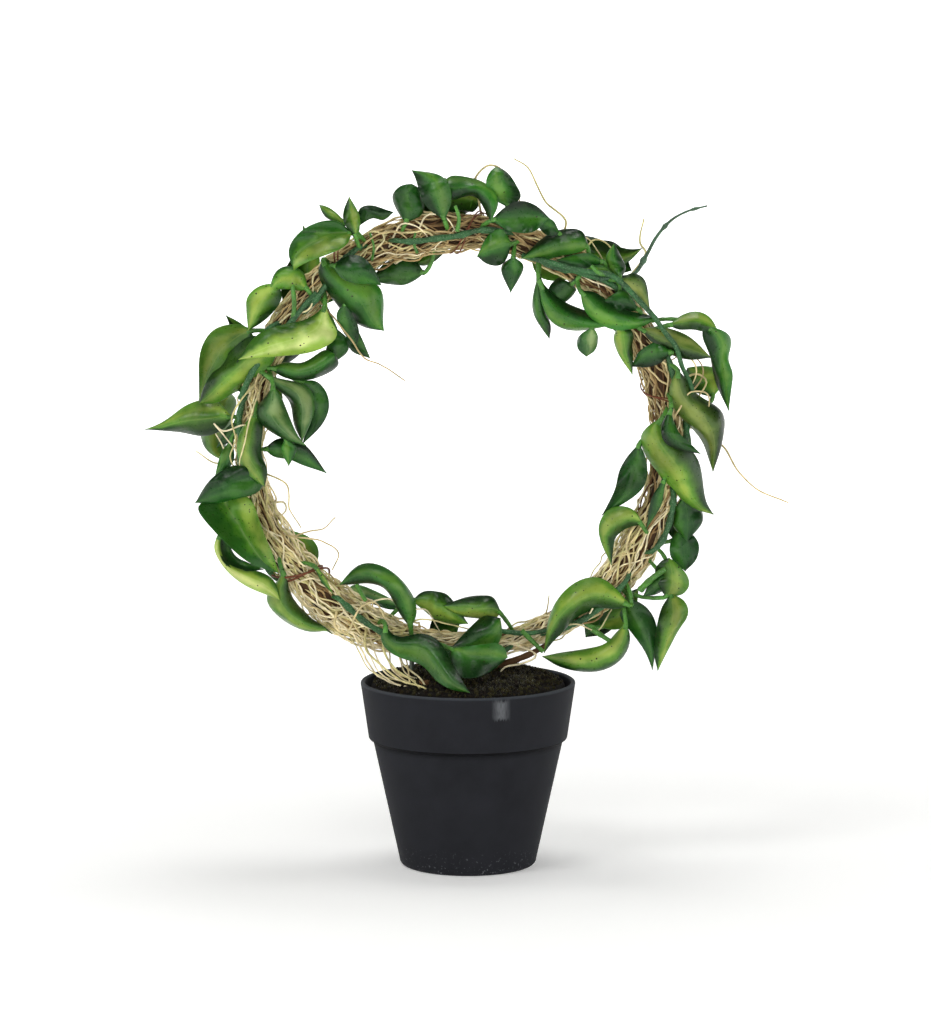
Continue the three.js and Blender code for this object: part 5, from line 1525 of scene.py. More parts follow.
@dataclass
class LeafCutter:
    """Makes a fleshy leaf from its plan: a folded, puffed and slightly waved blade with round edges."""

    rows: int = 28
    columns: int = 12
    middle: float = 0.65
    edge: float = 0.4
    puff: Pair = (-0.03, 0.03)
    curl: Pair = (0.08, 0.24)
    vee: Pair = (-0.16, 0.1)
    groove: float = 0.05
    groove_width: float = 0.2
    wave: float = 1.7
    waves: Pair = (1.2, 2.4)
    folds: int = 4
    fold: float = 0.13
    fold_width: float = 0.09
    fold_at: Pair = (0.15, 0.85)
    fold_slant: Pair = (-0.5, 0.5)
    twist: float = 0.28
    easing: int = 6
    stalk: float = 1.5
    keel: float = 0.4
    keel_width: float = 0.1
    full_wave: float = 16.0
    foot_swell: float = 0.9
    foot_share: float = 0.06
    tip_loss: float = 0.6
    tip_start: float = 0.85
    shade_jitter: float = 0.1
    bias: float = 0.65

    def cut(self, leaf: Leaf, place: Place, seed: int, blades: Blades) -> None:
        """Adds one leaf to a vine's blades.

        Args:
            leaf: The plan of the leaf.
            place: Where each of its places goes.
            seed: What sets its waves and its shade.
            blades: What it is added to.
        """
        draw = np.random.default_rng(seed)
        shares, across = self.shares(), self.across()
        sheet, width = self.sheet(leaf, place, shares)
        side, along = np.abs(across)[None, :], shares[:, None]
        grown = np.sin(np.pi * np.clip(along, 0, 1)) ** 0.6
        relief = self.relief(leaf, width[:, None], across[None, :], along, grown, draw)
        body = self.thickness(side, along)
        keel = self.keel * np.exp(-((side / self.keel_width) ** 2)) * (1 - along) * grown
        sheet[..., 1] += math.copysign(1, sheet[..., 1].mean()) * relief
        sheet = HOOP.clear(sheet, SEAT_GAP + self.middle)
        normal = self.normals(sheet)
        front = sheet + normal * body[..., None]
        back = sheet - normal * (body + keel)[..., None]
        self.close(front, back, shares, across, self.paint(leaf, draw), blades)

    def relief(
        self, leaf: Leaf, width: Array, across: Array, along: Array, grown: Array,
        draw: np.random.Generator,
    ) -> Array:
        """Shapes the blade's puff, curl, groove, waves, folds and twist.

        Args:
            leaf: The plan of the leaf.
            width: The blade's width, by row.
            across: The places across, by column.
            along: The places along, by row.
            grown: How full the blade is, by row.
            draw: What the shapes are drawn from.

        Returns:
            How far each place stands out, in rows and columns.
        """
        side = np.abs(across)
        puff = draw.uniform(*self.puff)
        curl = draw.choice((-1, 1)) * draw.uniform(*self.curl)
        vee = -leaf.crease or draw.uniform(*self.vee)
        relief = width * grown * (
            puff * np.sin(np.pi * side) + curl * side ** 4 + vee * side
            - self.groove * np.exp(-((side / self.groove_width) ** 2)))
        beats, phase, lean = draw.uniform(*self.waves), draw.uniform(0, math.tau), draw.uniform(-1, 1)
        swing = math.tau * beats * along + phase
        ripple = np.sin(swing) + lean * np.sign(across) * np.cos(swing)
        relief += self.wave * np.minimum(1, width / self.full_wave) * side ** 2 * ripple * grown
        for _ in range(self.folds):
            slant = along - draw.uniform(*self.fold_at) + draw.uniform(*self.fold_slant) * across
            line = np.exp(-((slant / self.fold_width) ** 2))
            relief += draw.uniform(-1, 1) * self.fold * width * grown * line
        twist = draw.uniform(-self.twist, self.twist)
        return relief + twist * width * across * np.cos(np.pi * along) * grown

    def shares(self) -> Array:
        """Gives the rows' shares of the way along, closer together near both ends."""
        even = np.linspace(0, 1, self.rows + 1)
        return 0.45 * even + 0.55 * (0.5 - 0.5 * np.cos(np.pi * even))

    def across(self) -> Array:
        """Gives the columns' places from the left edge, -1, to the right edge, 1."""
        return -np.cos(np.pi * np.arange(self.columns + 1) / self.columns)

    def sheet(self, leaf: Leaf, place: Place, shares: Array) -> tuple[Array, Array]:
        """Lays out the blade's middle surface.

        Args:
            leaf: The plan of the leaf.
            place: Where each of its places goes.
            shares: The rows' shares of the way along.

        Returns:
            The surface in rows and columns, and its width at each row.
        """
        left, middle, right = (self.eased(line.at(shares)) for line in leaf.lines())
        over = right - left
        width = np.linalg.norm(over, axis=1)
        wide = np.flatnonzero(width > 2 * self.stalk)
        least = np.where(shares < 0.5, 2 * self.stalk, 0.5)
        for row in np.flatnonzero(width < least):
            near = wide[np.argmin(np.abs(wide - row))]
            over[row] = over[near] / width[near] * least[row]
            left[row] = middle[row] - over[row] / 2
            right[row] = middle[row] + over[row] / 2
        s = self.across()[None, :, None]
        crown = (left + right) / 2 - middle
        sheet = middle[:, None] + s * over[:, None] / 2 + s ** 2 * crown[:, None]
        return HOOP.clear(place(sheet), SEAT_GAP + self.middle), np.linalg.norm(over, axis=1)

    def eased(self, line: Array) -> Array:
        """Rounds a line's corners and keeps its ends.

        Args:
            line: The line, which is changed.

        Returns:
            The same line.
        """
        for _ in range(self.easing):
            line[1:-1] = (line[:-2] + 2 * line[1:-1] + line[2:]) / 4
        return line

    def normals(self, sheet: Array) -> Array:
        """Gives the directions square to a middle surface, away from the hoop's plane.

        Args:
            sheet: The surface in rows and columns.

        Returns:
            One direction for each of its places.
        """
        normal = np.cross(np.gradient(sheet, axis=0), np.gradient(sheet, axis=1))
        normal[0], normal[-1] = normal[1], normal[-2]
        normal /= np.maximum(np.linalg.norm(normal, axis=-1, keepdims=True), 1e-9)
        outwards = 1.0 if sheet[..., 1].mean() > 0 else -1.0
        return normal if normal[..., 1].mean() * outwards > 0 else -normal

    def thickness(self, side: Array, along: Array) -> Array:
        """Gives half the leaf's thickness, round at its edges, stout at its foot and thin at its tip.

        Args:
            side: The places across, from 0 on the midrib to 1 at an edge.
            along: The places along, from 0 to 1.

        Returns:
            Half the thickness, in rows and columns.
        """
        body = self.edge + (self.middle - self.edge) * (1 - side ** 2)
        body = body * np.sqrt(1 - np.minimum(side, 1) ** 6)
        foot = 1 + self.foot_swell * np.exp(-along / self.foot_share)
        return body * foot * (1 - self.tip_loss * np.clip((along - self.tip_start) / 0.15, 0, 1))

    def paint(self, leaf: Leaf, draw: np.random.Generator) -> dict[str, Array]:
        """Gives the leaf's three colours, a shade lighter or darker than its tone's.

        Args:
            leaf: The plan of the leaf.
            draw: What the shade is drawn from.

        Returns:
            The colours of the centre, the blade and the edge.
        """
        colours = PAINTS[leaf.tone]
        shade = 1 + draw.uniform(-self.shade_jitter, self.shade_jitter, 3)
        made = {}
        for key, colour in (("centre", colours.centre), ("blade", colours.blade), ("edge", colours.edge)):
            made[key] = np.array([*(np.array(linear(colour)[:3]) * shade.mean() * (0.5 + 0.5 * shade)), 1.0])
        made["centre"][3] = colours.specks
        # The pale streak leans away from the painted shade, whose strength the edge's alpha holds
        bias = draw.uniform(-self.bias, self.bias)
        made["blade"][3] = math.copysign(max(abs(bias), 0.3), leaf.dark) if leaf.dark else bias
        made["edge"][3] = leaf.dark
        return made

    def close(
        self, front: Array, back: Array, shares: Array, across: Array, paint: dict[str, Array],
        blades: Blades,
    ) -> None:
        """Closes the two faces of a leaf into one body and adds it.

        Args:
            front: The front face, in rows.
            back: The back face, in rows.
            shares: The rows' places along.
            across: The columns' places across.
            paint: The leaf's colours, by part.
            blades: What it is added to.
        """
        rings = np.concatenate([front, back[:, -2:0:-1]], axis=1)
        rows, size = rings.shape[:2]
        u = (np.concatenate([across, across[-2:0:-1]]) + 1) / 2
        uv = np.stack(np.broadcast_arrays(u[None, :], shares[:, None]), axis=-1).reshape(-1, 2)
        points = rings.reshape(-1, 3)
        faces = ring_faces(rows, size)
        foot, tip = len(points), len(points) + 1
        points = np.vstack([points, rings[0].mean(axis=0), rings[-1].mean(axis=0)])
        uv = np.vstack([uv, (0.5, 0), (0.5, 1)])
        faces += [(foot, (k + 1) % size, k) for k in range(size)]
        last = (rows - 1) * size
        faces += [(tip, last + k, last + (k + 1) % size) for k in range(size)]
        blades.add(points, faces, uv, paint)


@dataclass
class LeafyVine:
    """One length of vine: its stem on the bundle, its stalks, and its leaves in front and behind."""

    plan: VinePlan
    cutter: LeafCutter
    tubes: PathTubes
    leaf_finish: Material
    stem_finish: Material
    stem_radius: float = 1.75
    stem_knot: float = 0.3
    stem_seat: float = 0.9
    stem_dive: float = 5.0
    stem_steps: int = 6
    stem_taper: float = 0.55
    stub_taper: Pair = (1.1, 0.85)
    stalk_radius: float = 1.15
    stalk_reach: float = 6.0
    stalk_steps: int = 9
    stalk_top: float = 0.95
    twig_radius: Pair = (1.25, 0.45)
    twig_steps: int = 60
    twig_joint: float = 1.2
    stem_sides: int = 10

    def build(self) -> list[Object]:
        """Builds the vine's leaves and its stem, which stand for its node.

        Returns:
            The two pieces.
        """
        stem = self.stem_line()
        lines = GuideLines()
        share = np.linspace(0, 1, len(stem))
        knots = self.stem_knot * np.cos(2 * math.pi * len(self.plan.stem) * share)
        ends = 1 - self.stem_taper * np.exp(-np.minimum(share, 1 - share) / 0.05)
        lines.add(stem, (self.stem_radius + knots) * ends, Wood.STEM.value, 0.25)
        blades = Blades()
        seed = sum(map(ord, self.plan.name))
        for number, (leaf, place) in enumerate(self.leaves()):
            self.cutter.cut(leaf, place, seed + 31 * number, blades)
            lines.add(self.stalk(leaf, place), self.stalk_thickness(), Wood.STALK.value)
        for wood, thick, stub in STUBS.get(self.plan.name, ()):
            line = Spline([SIGHT.seen(*p) for p in stub]).at(np.linspace(0, 1, 5 * len(stub)))
            lines.add(line, np.linspace(*self.stub_taper, len(line)) * thick, wood.value)
        if self.plan.twig:
            lines.add(*self.twig(stem))
        leaves = new_object(
            self.plan.name + "_leaves", blades.mesh(self.plan.name + "_leaves", self.leaf_finish))
        stems = self.tubes.run(self.plan.name + "_stem", lines.mesh(self.plan.name), {
            "Sides": self.stem_sides, "Spacing": 1.2 * MM, "Wander": 1.2 * MM, "Wander Size": per_metre(14),
            "Knobble": 0.55, "Knobble Size": per_metre(2.6), "Material": self.stem_finish,
        })
        return [
            finished(leaves, "hoya_leaf", self.plan.name),
            finished(stems, "hoya_leaf", self.plan.name),
        ]

    def leaves(self) -> list[tuple[Leaf, Place]]:
        """Lists the vine's leaves, those seen and those on the far side.

        Returns:
            Each leaf with where its places go: as seen, or mirrored to the back and turned.
        """
        found: list[tuple[Leaf, Place]] = [(leaf, lambda places: places) for leaf in self.plan.leaves]
        for source, name, turned, spread in FAR_SIDE.get(self.plan.name, ()):
            plan = next(vine for vine in VINES if vine.name == source)
            leaf = next(leaf for leaf in plan.leaves if leaf.name == name)
            found.append((leaf, partial(self.far_side, turned, spread)))
        return found

    @staticmethod
    def far_side(turned: float, spread: float, places: Array) -> Array:
        """Mirrors places to the back, turns them round the hoop and gathers them behind the bundle."""
        turn, around, out = HOOP.locate(places)
        return HOOP.place(turn + turned, -90 - spread * ((around + 90) % 360 - 180), out)

    def stem_line(self) -> Array:
        """Lays the stem on the bundle's surface.

        Returns:
            Its centre line.
        """
        way = Spline([(turn, around, 0) for turn, around in self.plan.stem])
        track = way.at(np.linspace(0, 1, (len(self.plan.stem) - 1) * self.stem_steps + 1))
        turn, around = track[:, 0], track[:, 1]
        share = np.linspace(0, 1, len(turn))
        rise = SEAT_GAP + self.stem_radius + self.stem_knot
        dive = self.stem_dive * np.exp(-np.minimum(share, 1 - share) / 0.04)
        return HOOP.place(turn, around, self.stem_seat * HOOP.half(turn) + rise - dive)

    def stalk_thickness(self) -> Array:
        """Gives the stalk's radius along it, thicker where it leaves the stem."""
        return self.stalk_radius * (0.85 + 0.4 * np.linspace(0, 1, self.stalk_steps))

    def stalk(self, leaf: Leaf, place: Place) -> Array:
        """Lays a stalk from among the roots, out over the bundle, into the foot of the blade.

        Args:
            leaf: The plan of the leaf.
            place: Where each of its places goes.

        Returns:
            The stalk's line.
        """
        way = leaf.lines()[1].at([0, 0.1])
        foot, inside = HOOP.clear(place(way), SEAT_GAP + self.cutter.middle)
        ahead = (inside - foot) / np.linalg.norm(inside - foot)
        turn, _, out = HOOP.locate(foot)
        reach = max(self.stalk_reach, 0.8 * float(out - HOOP.half(turn)))
        turn, around, _ = HOOP.locate(foot - reach * ahead)
        start = HOOP.place(turn, around, ROOTED * HOOP.half(turn))
        middle = (start + foot - 0.5 * reach * ahead) / 2
        turn, around, out = HOOP.locate(middle)
        middle = HOOP.place(turn, around, np.maximum(out, self.stalk_top * HOOP.half(turn)))
        return Spline([start, middle, foot, inside]).at(np.linspace(0, 1, self.stalk_steps))

    def twig(self, stem: Array) -> tuple[Array, Array, float, float]:
        """Lays the bare twig, with its swollen joints.

        Args:
            stem: The line of the stem that it leaves.

        Returns:
            Its line, its thickness, its tint and its looseness.
        """
        points = [stem[8], *(SIGHT.seen(*p) for p in self.plan.twig)]
        share = np.linspace(0, 1, self.twig_steps)
        joints = self.twig_joint * np.maximum(0, np.cos(21 * share)) ** 8
        thick = np.interp(share, [0, 1], self.twig_radius) + joints * (1 - 0.6 * share)
        return Spline(points).at(share), thick, Wood.TWIG.value, 0.1


@dataclass
class RootBundle:
    """The rope of air roots round the hoop, with its loose roots, wisps and tails."""

    tubes: PathTubes
    finish: Material
    strands: int = 285
    outer_share: float = 0.93
    stretch: Pair = (60.0, 150.0)
    step: float = 1.8
    wind: Pair = (0.3, 2.0)
    sway: Pair = (10.0, 42.0)
    tuck: float = 0.08
    radius: Pair = (0.37, 0.65)
    loopers: float = 0.3
    loop_reach: float = 3.0
    loop_share: float = 0.06
    bleach: float = 0.17
    bleached_turn: float = 240.0
    tint_spread: float = 0.17
    tails: int = 8
    tail_from: float = -69.0
    tail_run: float = 34.0
    knot: Point = (-24.0, -31.0, 107.5)
    core_share: float = 0.58
    core_steps: int = 180
    core_sides: int = 20
    core_shade_tint: float = 0.06
    seed: int = 11

    def build(self) -> list[Object]:
        """Builds the core, painted dark as shade between the roots, then the woven roots and the loose ones,
        which stand for the bundle's node.

        Returns:
            The pieces.
        """
        woven = [
            self.run(f"root_weave_{number + 1}", lines) for number, lines in enumerate(self.weave())
        ]
        return [
            finished(self.core(), "air_roots", "root_bundle"),
            *woven,
            self.run("roots_loose", self.loose()),
        ]

    def run(self, name: str, lines: GuideLines) -> Object:
        """Makes tubes of guide lines and finishes the piece.

        Args:
            name: The piece's name.
            lines: Its lines.

        Returns:
            The piece.
        """
        piece = self.tubes.run(name, lines.mesh(name), {
            "Sides": 6, "Spacing": 2.0 * MM, "Wander": 7.5 * MM, "Wander Size": per_metre(11),
            "Knobble": 0.5, "Knobble Size": per_metre(5), "Material": self.finish,
        })
        return finished(piece, "air_roots", "root_bundle")

    def weave(self) -> list[GuideLines]:
        """Lays the woven roots, each a stretch of a slow helix with its ends tucked in.

        Returns:
            Their lines, in three lots.
        """
        draw = np.random.default_rng(self.seed)
        lots = [GuideLines() for _ in range(3)]
        for number in range(self.strands):
            length = draw.uniform(*self.stretch)
            share = np.linspace(0, 1, int(length / self.step))
            turn = draw.uniform(0, 360) + length * share
            wind = draw.normal(*self.wind)
            swing = draw.uniform(*self.sway)
            sway = swing * np.sin(math.tau * (draw.uniform(1.5, 6) * share + draw.uniform()))
            around = draw.uniform(0, 360) + wind * length * share + sway
            level = math.sqrt(draw.uniform(0.3, 1)) * self.outer_share
            level = level + 0.07 * np.sin(math.tau * (draw.uniform(1, 3) * share + draw.uniform()))
            tuck = np.minimum(1, np.minimum(share, 1 - share) / self.tuck)
            reach = np.minimum(level, self.outer_share) * (0.35 + 0.65 * tuck) * HOOP.half(turn)
            if draw.uniform() < self.loopers:
                bulge = np.exp(-(((share - draw.uniform(0.25, 0.75)) / self.loop_share) ** 2))
                reach = reach + self.loop_reach * draw.uniform(0.5, 1.4) * bulge
            line = HOOP.place(turn, around, reach)
            # Roots deeper in the bundle get a darker tint, as painted shade between the roots
            depth = float(np.mean(level)) / self.outer_share
            bleached = self.bleach * math.cos(math.radians(float(np.mean(turn)) - self.bleached_turn))
            tint = draw.normal(0.14 + 0.66 * depth ** 2 + bleached, self.tint_spread)
            tint = float(np.clip(tint, 0.03, 1))
            thick = draw.uniform(*self.radius)
            lots[number % 3].add(line, thick, tint, draw.uniform(0.5, 0.8 + 1.3 * depth ** 3))
        return lots

    def loose(self) -> GuideLines:
        """Lays the roots that stand out of the bundle, and the tails that run into the soil.

        Returns:
            Their lines.
        """
        draw = np.random.default_rng(self.seed + 1)
        lines = GuideLines()
        for number, points in enumerate(LOOSE_ROOTS):
            line = self.rooted(points)
            lines.add(line, np.linspace(0.78, 0.42, len(line)), 0.6 + 0.05 * (number % 6), 0.12)
        old = Spline([SIGHT.seen(*p) for p in OLD_ROOT]).at(np.linspace(0, 1, 20))
        lines.add(old, np.linspace(2.3, 1.7, 20), 0.1, 0.1)
        for number, points in enumerate(WISPS):
            line = self.rooted(points)
            lines.add(line, np.linspace(0.55, 0.34, len(line)), 0.5 + 0.07 * (number % 7), 0.25)
        for share in np.linspace(0, 1, self.tails):
            x = self.tail_from + self.tail_run * share
            start = np.array([x, draw.uniform(-9, 1), self.underside(x)])
            end = np.array([*self.knot[:2], 0.0]) + draw.normal(0, 1, 3) * (3.0, 2.5, 0.0)
            end[2] = SoilHeap.height(end[0], end[1]) - 1.0
            over, sag = end - start, np.array([5 * share - 7, -5.0, 7 * share - 10])
            middle = start + 0.45 * over + sag + draw.normal(0, 1.8, 3)
            near = start + 0.8 * over + 0.55 * sag + draw.normal(0, 0.8, 3)
            line = Spline([start, middle, near, end]).at(np.linspace(0, 1, 30))
            lines.add(line, draw.uniform(0.36, 0.56), draw.uniform(0.55, 0.95), 0.4)
        turn = np.linspace(0, 3.3 * math.tau, 60)
        coil = np.stack([2.6 * np.cos(turn), 1.4 * np.sin(turn), np.sin(1.7 * turn)], axis=1)
        lines.add(np.array(self.knot) + coil, 0.8, 0.2, 0.3)
        return lines

    @staticmethod
    def rooted(points: Sequence[Sequence[float]]) -> Array:
        """Lays a root that starts in among the woven ones.

        Args:
            points: Its points as seen.

        Returns:
            Its line.
        """
        places = [SIGHT.seen(*p) for p in points]
        turn, around, _ = HOOP.locate(places[0][None])
        places[0] = HOOP.place(turn, around, ROOTED * HOOP.half(turn))[0]
        return Spline(places).at(np.linspace(0, 1, 8 * len(places)))

    @staticmethod
    def underside(x: float) -> float:
        """Finds the bundle's lower surface.

        Args:
            x: The place across.

        Returns:
            The height a little inside it.
        """
        rise = math.sqrt(HOOP.radius ** 2 - (x - HOOP.x) ** 2)
        turn = math.degrees(math.atan2(-rise, x - HOOP.x))
        return HOOP.z - rise - 0.5 * float(HOOP.half(turn))

    def core(self) -> Object:
        """Builds the core that shows between the roots, painted dark as the shade between them.

        Returns:
            The piece, not finished yet.
        """
        turns = np.arange(self.core_steps) * 360 / self.core_steps
        arounds = np.arange(self.core_sides) * 360 / self.core_sides
        turn, around = np.meshgrid(turns, arounds, indexing="ij")
        lumps = 1 + sum(
            high * np.sin(np.radians(long * turn + wide * around))
            for high, long, wide in ((0.1, 17, 3), (0.07, 41, -5)))
        points = HOOP.place(turn, around, self.core_share * HOOP.half(turn) * lumps).reshape(-1, 3)
        faces = ring_faces(self.core_steps, self.core_sides, closed=True)
        mesh = mesh_from("root_core", points, faces, self.finish)
        # Its dark tint is painted shade for the gaps between the roots
        tag(mesh, TINT, [self.core_shade_tint] * len(points))
        return new_object("root_core", mesh)


@dataclass
class WireTies:
    """The tarnished wires that hold the bundle together, each two crossing turns with bent ends."""

    tubes: PathTubes
    finish: Material
    lift: float = 0.9
    cross: float = 15.0
    sweep: float = 375.0

    def build(self) -> list[Object]:
        """Builds one piece for each tie."""
        return [self.wind(*tie) for tie in TIES]

    def wind(self, node: str, turn: float, slant: float, radius: float) -> Object:
        """Winds one tie: two turns that cross in front, and their ends.

        Args:
            node: The node that the piece stands for.
            turn: Where it is round the hoop, in degrees.
            slant: How far it slants along the hoop, in degrees.
            radius: The wire's radius, in millimetres.

        Returns:
            The finished piece.
        """
        lines = GuideLines()
        share = np.linspace(0, 1, 50)
        for hand in (1, -1):
            at = turn + (slant + hand * self.cross) * (share - 0.5)
            around = 270 + hand * self.sweep * share
            out = HOOP.half(at) + self.lift + 0.9 * radius * hand
            tail = 1.5 * np.clip((share - 0.94) / 0.06, 0, 1) ** 2
            lines.add(HOOP.place(at, around, out + tail), radius, 0.5, 0.3)
        piece = self.tubes.run(node + "_wire", lines.mesh(node), {
            "Sides": 8, "Spacing": 1.5 * MM, "Wander": 1.0 * MM, "Wander Size": per_metre(9),
            "Knobble": 0.15, "Knobble Size": per_metre(3), "Material": self.finish,
        })
        return finished(piece, "copper_tie", node)


@dataclass
class NurseryPot:
    """The pot: a tapered body, a step, and a wide rim band with a rounded lip, its floor pierced to drain."""

    finish: Material
    rim: float = 60.0
    height: float = 104.0
    band_foot: float = 72.0
    band_radius: float = 55.6
    body: float = 53.0
    foot: float = 38.4
    foot_round: float = 3.5
    wall: float = 2.0
    lip: float = 2.6
    floor: float = 3.0
    ring_in: float = 29.0
    pad: float = 9.0
    recess: float = 1.4
    step_round: float = 1.2
    crease: float = 38.0
    sides: int = 144
    drain_count: int = 6
    drain_orbit: float = 19.0
    drain_radius: float = 2.6

    def build(self) -> Object:
        """Turns the profile round the axis and cuts the drain holes.

        Returns:
            The finished pot.
        """
        mesh = mesh_from("nursery_pot", *turned(self.profile(), self.sides), self.finish)
        piece = new_object("nursery_pot", mesh)
        self.drill(piece)
        self.soften(piece)
        return finished(piece, "pot_plastic", "pot")

    def profile(self) -> list[Pair]:
        """Draws the pot's profile.

        Returns:
            Radius and height, from the middle of the underside, up the outside, and down to the floor.
        """
        step, bead = self.step_round, self.lip / 2
        outside = [(0.0, 0.0), (self.pad, 0.0), (self.pad + 1, self.recess), (self.ring_in, self.recess),
                   (self.ring_in + 1, 0.0)]
        outside += self.arc(self.foot - self.foot_round, self.foot_round, self.foot_round, (-90, 0), 8)
        outside += [(self.body - 0.1, self.band_foot - 2.2), (self.body, self.band_foot - 1.4)]
        outside += self.arc(self.band_radius - step, self.band_foot + step - 0.4, step, (-90, -5), 5)
        outside += [(self.rim - 0.3, self.height - 3)]
        outside += self.arc(self.rim - bead, self.height - bead, bead, (0, 180), 9)
        low = self.foot + (self.body - self.foot) * self.floor / self.band_foot - self.wall
        return outside + [
            (self.band_radius - self.wall, self.band_foot + 3), (self.body - self.wall, self.band_foot),
            (low, self.floor + 1), (low - 1, self.floor), (0.0, self.floor),
        ]

    @staticmethod
    def arc(x: float, z: float, radius: float, turn: Pair, steps: int) -> list[Pair]:
        """Gives places on an arc round a centre, from one angle in degrees to another."""
        angles = np.radians(np.linspace(*turn, steps))
        return [(x + radius * math.cos(a), z + radius * math.sin(a)) for a in angles]

    def drill(self, piece: Object) -> None:
        """Cuts the drain holes through the floor.

        Args:
            piece: The pot.
        """
        r, top = self.drain_radius, 2 * self.floor
        drill, faces = turned([(0, -top), (r, -top), (r, top), (0, top)], 20)
        turns = [math.tau * hole / self.drain_count for hole in range(self.drain_count)]
        orbit = [self.drain_orbit * np.array([math.cos(a), math.sin(a), 0]) for a in turns]
        faces = [tuple(v + len(drill) * hole for v in face) for hole in range(len(orbit)) for face in faces]
        points = np.vstack([drill + place for place in orbit])
        cutter = new_object("drain_cutter", mesh_from("drain_cutter", points, faces, self.finish))
        cut = piece.modifiers.new("drain_holes", "BOOLEAN")
        cut.object = cutter
        cut.operation = "DIFFERENCE"
        cut.solver = "EXACT"
        apply_modifiers(piece, piece.name)
        bpy.data.objects.remove(cutter)

    def soften(self, piece: Object) -> None:
        """Shades the pot smooth but keeps its creases sharp."""
        piece.data.shade_smooth()
        piece.data.set_sharp_from_angle(angle=math.radians(self.crease))


@dataclass
class SoilHeap:
    """The potting mix: a heaped, crumbly top over a plain body, with loose crumbs and moss on it."""

    scatter: SurfaceScatter
    finish: Material
    moss: Material
    rim: float = 54.3
    side: tuple[Pair, ...] = ((0.0, 3.5), (36.7, 3.5), (50.6, 72.0), (52.9, 78.0))
    sides: int = 120
    rings: int = 46
    crumbs: float = 300000.0
    tufts: float = 420000.0
    patch: float = 17.0
    ground_tint: float = 0.12
    seed: int = 5

    @staticmethod
    def height(x: float, y: float) -> float:
        """Gives the heap's height at a place.

        Args:
            x: The place across.
            y: The place from front to back.

        Returns:
            The height.
        """
        share = max(0.0, 1 - math.hypot(x, y) / SOIL_RIM)
        heap = SOIL_EDGE + SOIL_RISE * math.sin(math.pi / 2 * share ** 0.55)
        lump = math.sin(x / 4.1 + 1) * math.cos(y / 3.7) + 0.6 * math.sin((x - y) / 2.6)
        fine = sum(
            high * noise.noise(Vector((x / wide, y / wide, seed)))
            for high, wide, seed in ((1.0, 2.4, 1.0), (0.6, 1.1, 4.0)))
        return heap + (0.8 * lump + 0.55 * fine) * min(1.0, 4 * share)

    def build(self) -> list[Object]:
        """Builds the heap, the crumbs and the moss.

        Returns:
            The three pieces, which stand for the soil's node.
        """
        heap = self.heap()
        shared = {"Patches": per_metre(self.patch), "Seed": self.seed}
        crumbs = self.scatter.run("soil_crumbs", self.top(), shared | {
            "Shape": self.crumb_shape(), "Density": self.crumbs, "Smallest": (0.4, 0.35, 0.3),
            "Largest": (2.3, 1.8, 1.3), "Lean": math.pi, "Bareness": 0.0, "Material": self.finish,
        })
        moss = self.scatter.run("soil_moss", self.top(), shared | {
            "Shape": self.tuft_shape(), "Density": self.tufts, "Smallest": (0.9, 0.9, 0.6),
            "Largest": (2.2, 2.2, 1.8), "Lean": 0.7, "Bareness": 0.53, "Material": self.moss,
        })
        for shape in ("crumb_shape", "tuft_shape"):
            bpy.data.objects.remove(bpy.data.objects[shape])
        return [finished(piece, "soil", "soil") for piece in (heap, crumbs, moss)]

    def top(self) -> Mesh:
        """Makes the heap's top alone, for scattering on."""
        return self.heaped("soil_top", [((self.rim - 2) * (1 - k / 12), 0.0) for k in range(13)], 40)

    def heap(self) -> Object:
        """Makes the closed body of soil: its base and side inside the pot, and its heaped top.

        Returns:
            The piece, not finished yet.
        """
        top = [(self.rim * (1 - k / self.rings), 0.0) for k in range(self.rings + 1)]
        mesh = self.heaped("soil_heap", [*self.side, *top], self.sides, len(self.side))
        tag(mesh, TINT, [self.ground_tint] * len(mesh.vertices))
        return new_object("soil_heap", mesh)

    def heaped(self, name: str, profile: list[Pair], sides: int, low: int = 0) -> Mesh:
        """Turns a profile and lifts its rings to the heap's height.

        Args:
            name: The mesh's name.
            profile: The radius and height of each ring.
            sides: The number of sides of a ring.
            low: How many of the first rings keep their own height.

        Returns:
            The mesh.
        """
        points, faces = turned(profile, sides)
        first = sum(sides if r else 1 for r, _ in profile[:low])
        for place in points[first:]:
            place[2] = self.height(place[0], place[1])
        return mesh_from(name, points, faces, self.finish)

    def crumb_shape(self) -> Object:
        """Makes one crumb: an uneven lump with a few faces.

        Returns:
            The shape to scatter.
        """
        draw = np.random.default_rng(self.seed)
        lumps = []
        for z, count in ((-0.7, 4), (0.1, 5), (0.75, 4)):
            turns = [math.tau * (k + z) / count for k in range(count)]
            lumps += [
                (0.9 * math.cos(a) * draw.uniform(0.7, 1.1), 0.9 * math.sin(a) * draw.uniform(0.7, 1.1),
                 z * draw.uniform(0.8, 1.1)) for a in turns
            ]
        return new_object("crumb_shape", self.hull("crumb_shape", lumps))

    def tuft_shape(self) -> Object:
        """Makes one tuft of moss: a few short leaning blades.

        Returns:
            The shape to scatter.
        """
        points: list[Point] = []
        faces: Faces = []
        for k in range(4):
            turn = math.tau * k / 4 + 0.4
            x, y = math.cos(turn), math.sin(turn)
            base = len(points)
            points += [
                (0.25 * x - 0.14 * y, 0.25 * y + 0.14 * x, -0.3),
                (0.25 * x + 0.14 * y, 0.25 * y - 0.14 * x, -0.3),
                (0.1 * x, 0.1 * y, -0.3), (0.75 * x, 0.75 * y, 1.1),
            ]
            faces += [(base, base + 1, base + 3), (base + 1, base + 2, base + 3), (base + 2, base, base + 3),
                      (base, base + 2, base + 1)]
        return new_object("tuft_shape", mesh_from("tuft_shape", points, faces, self.moss))

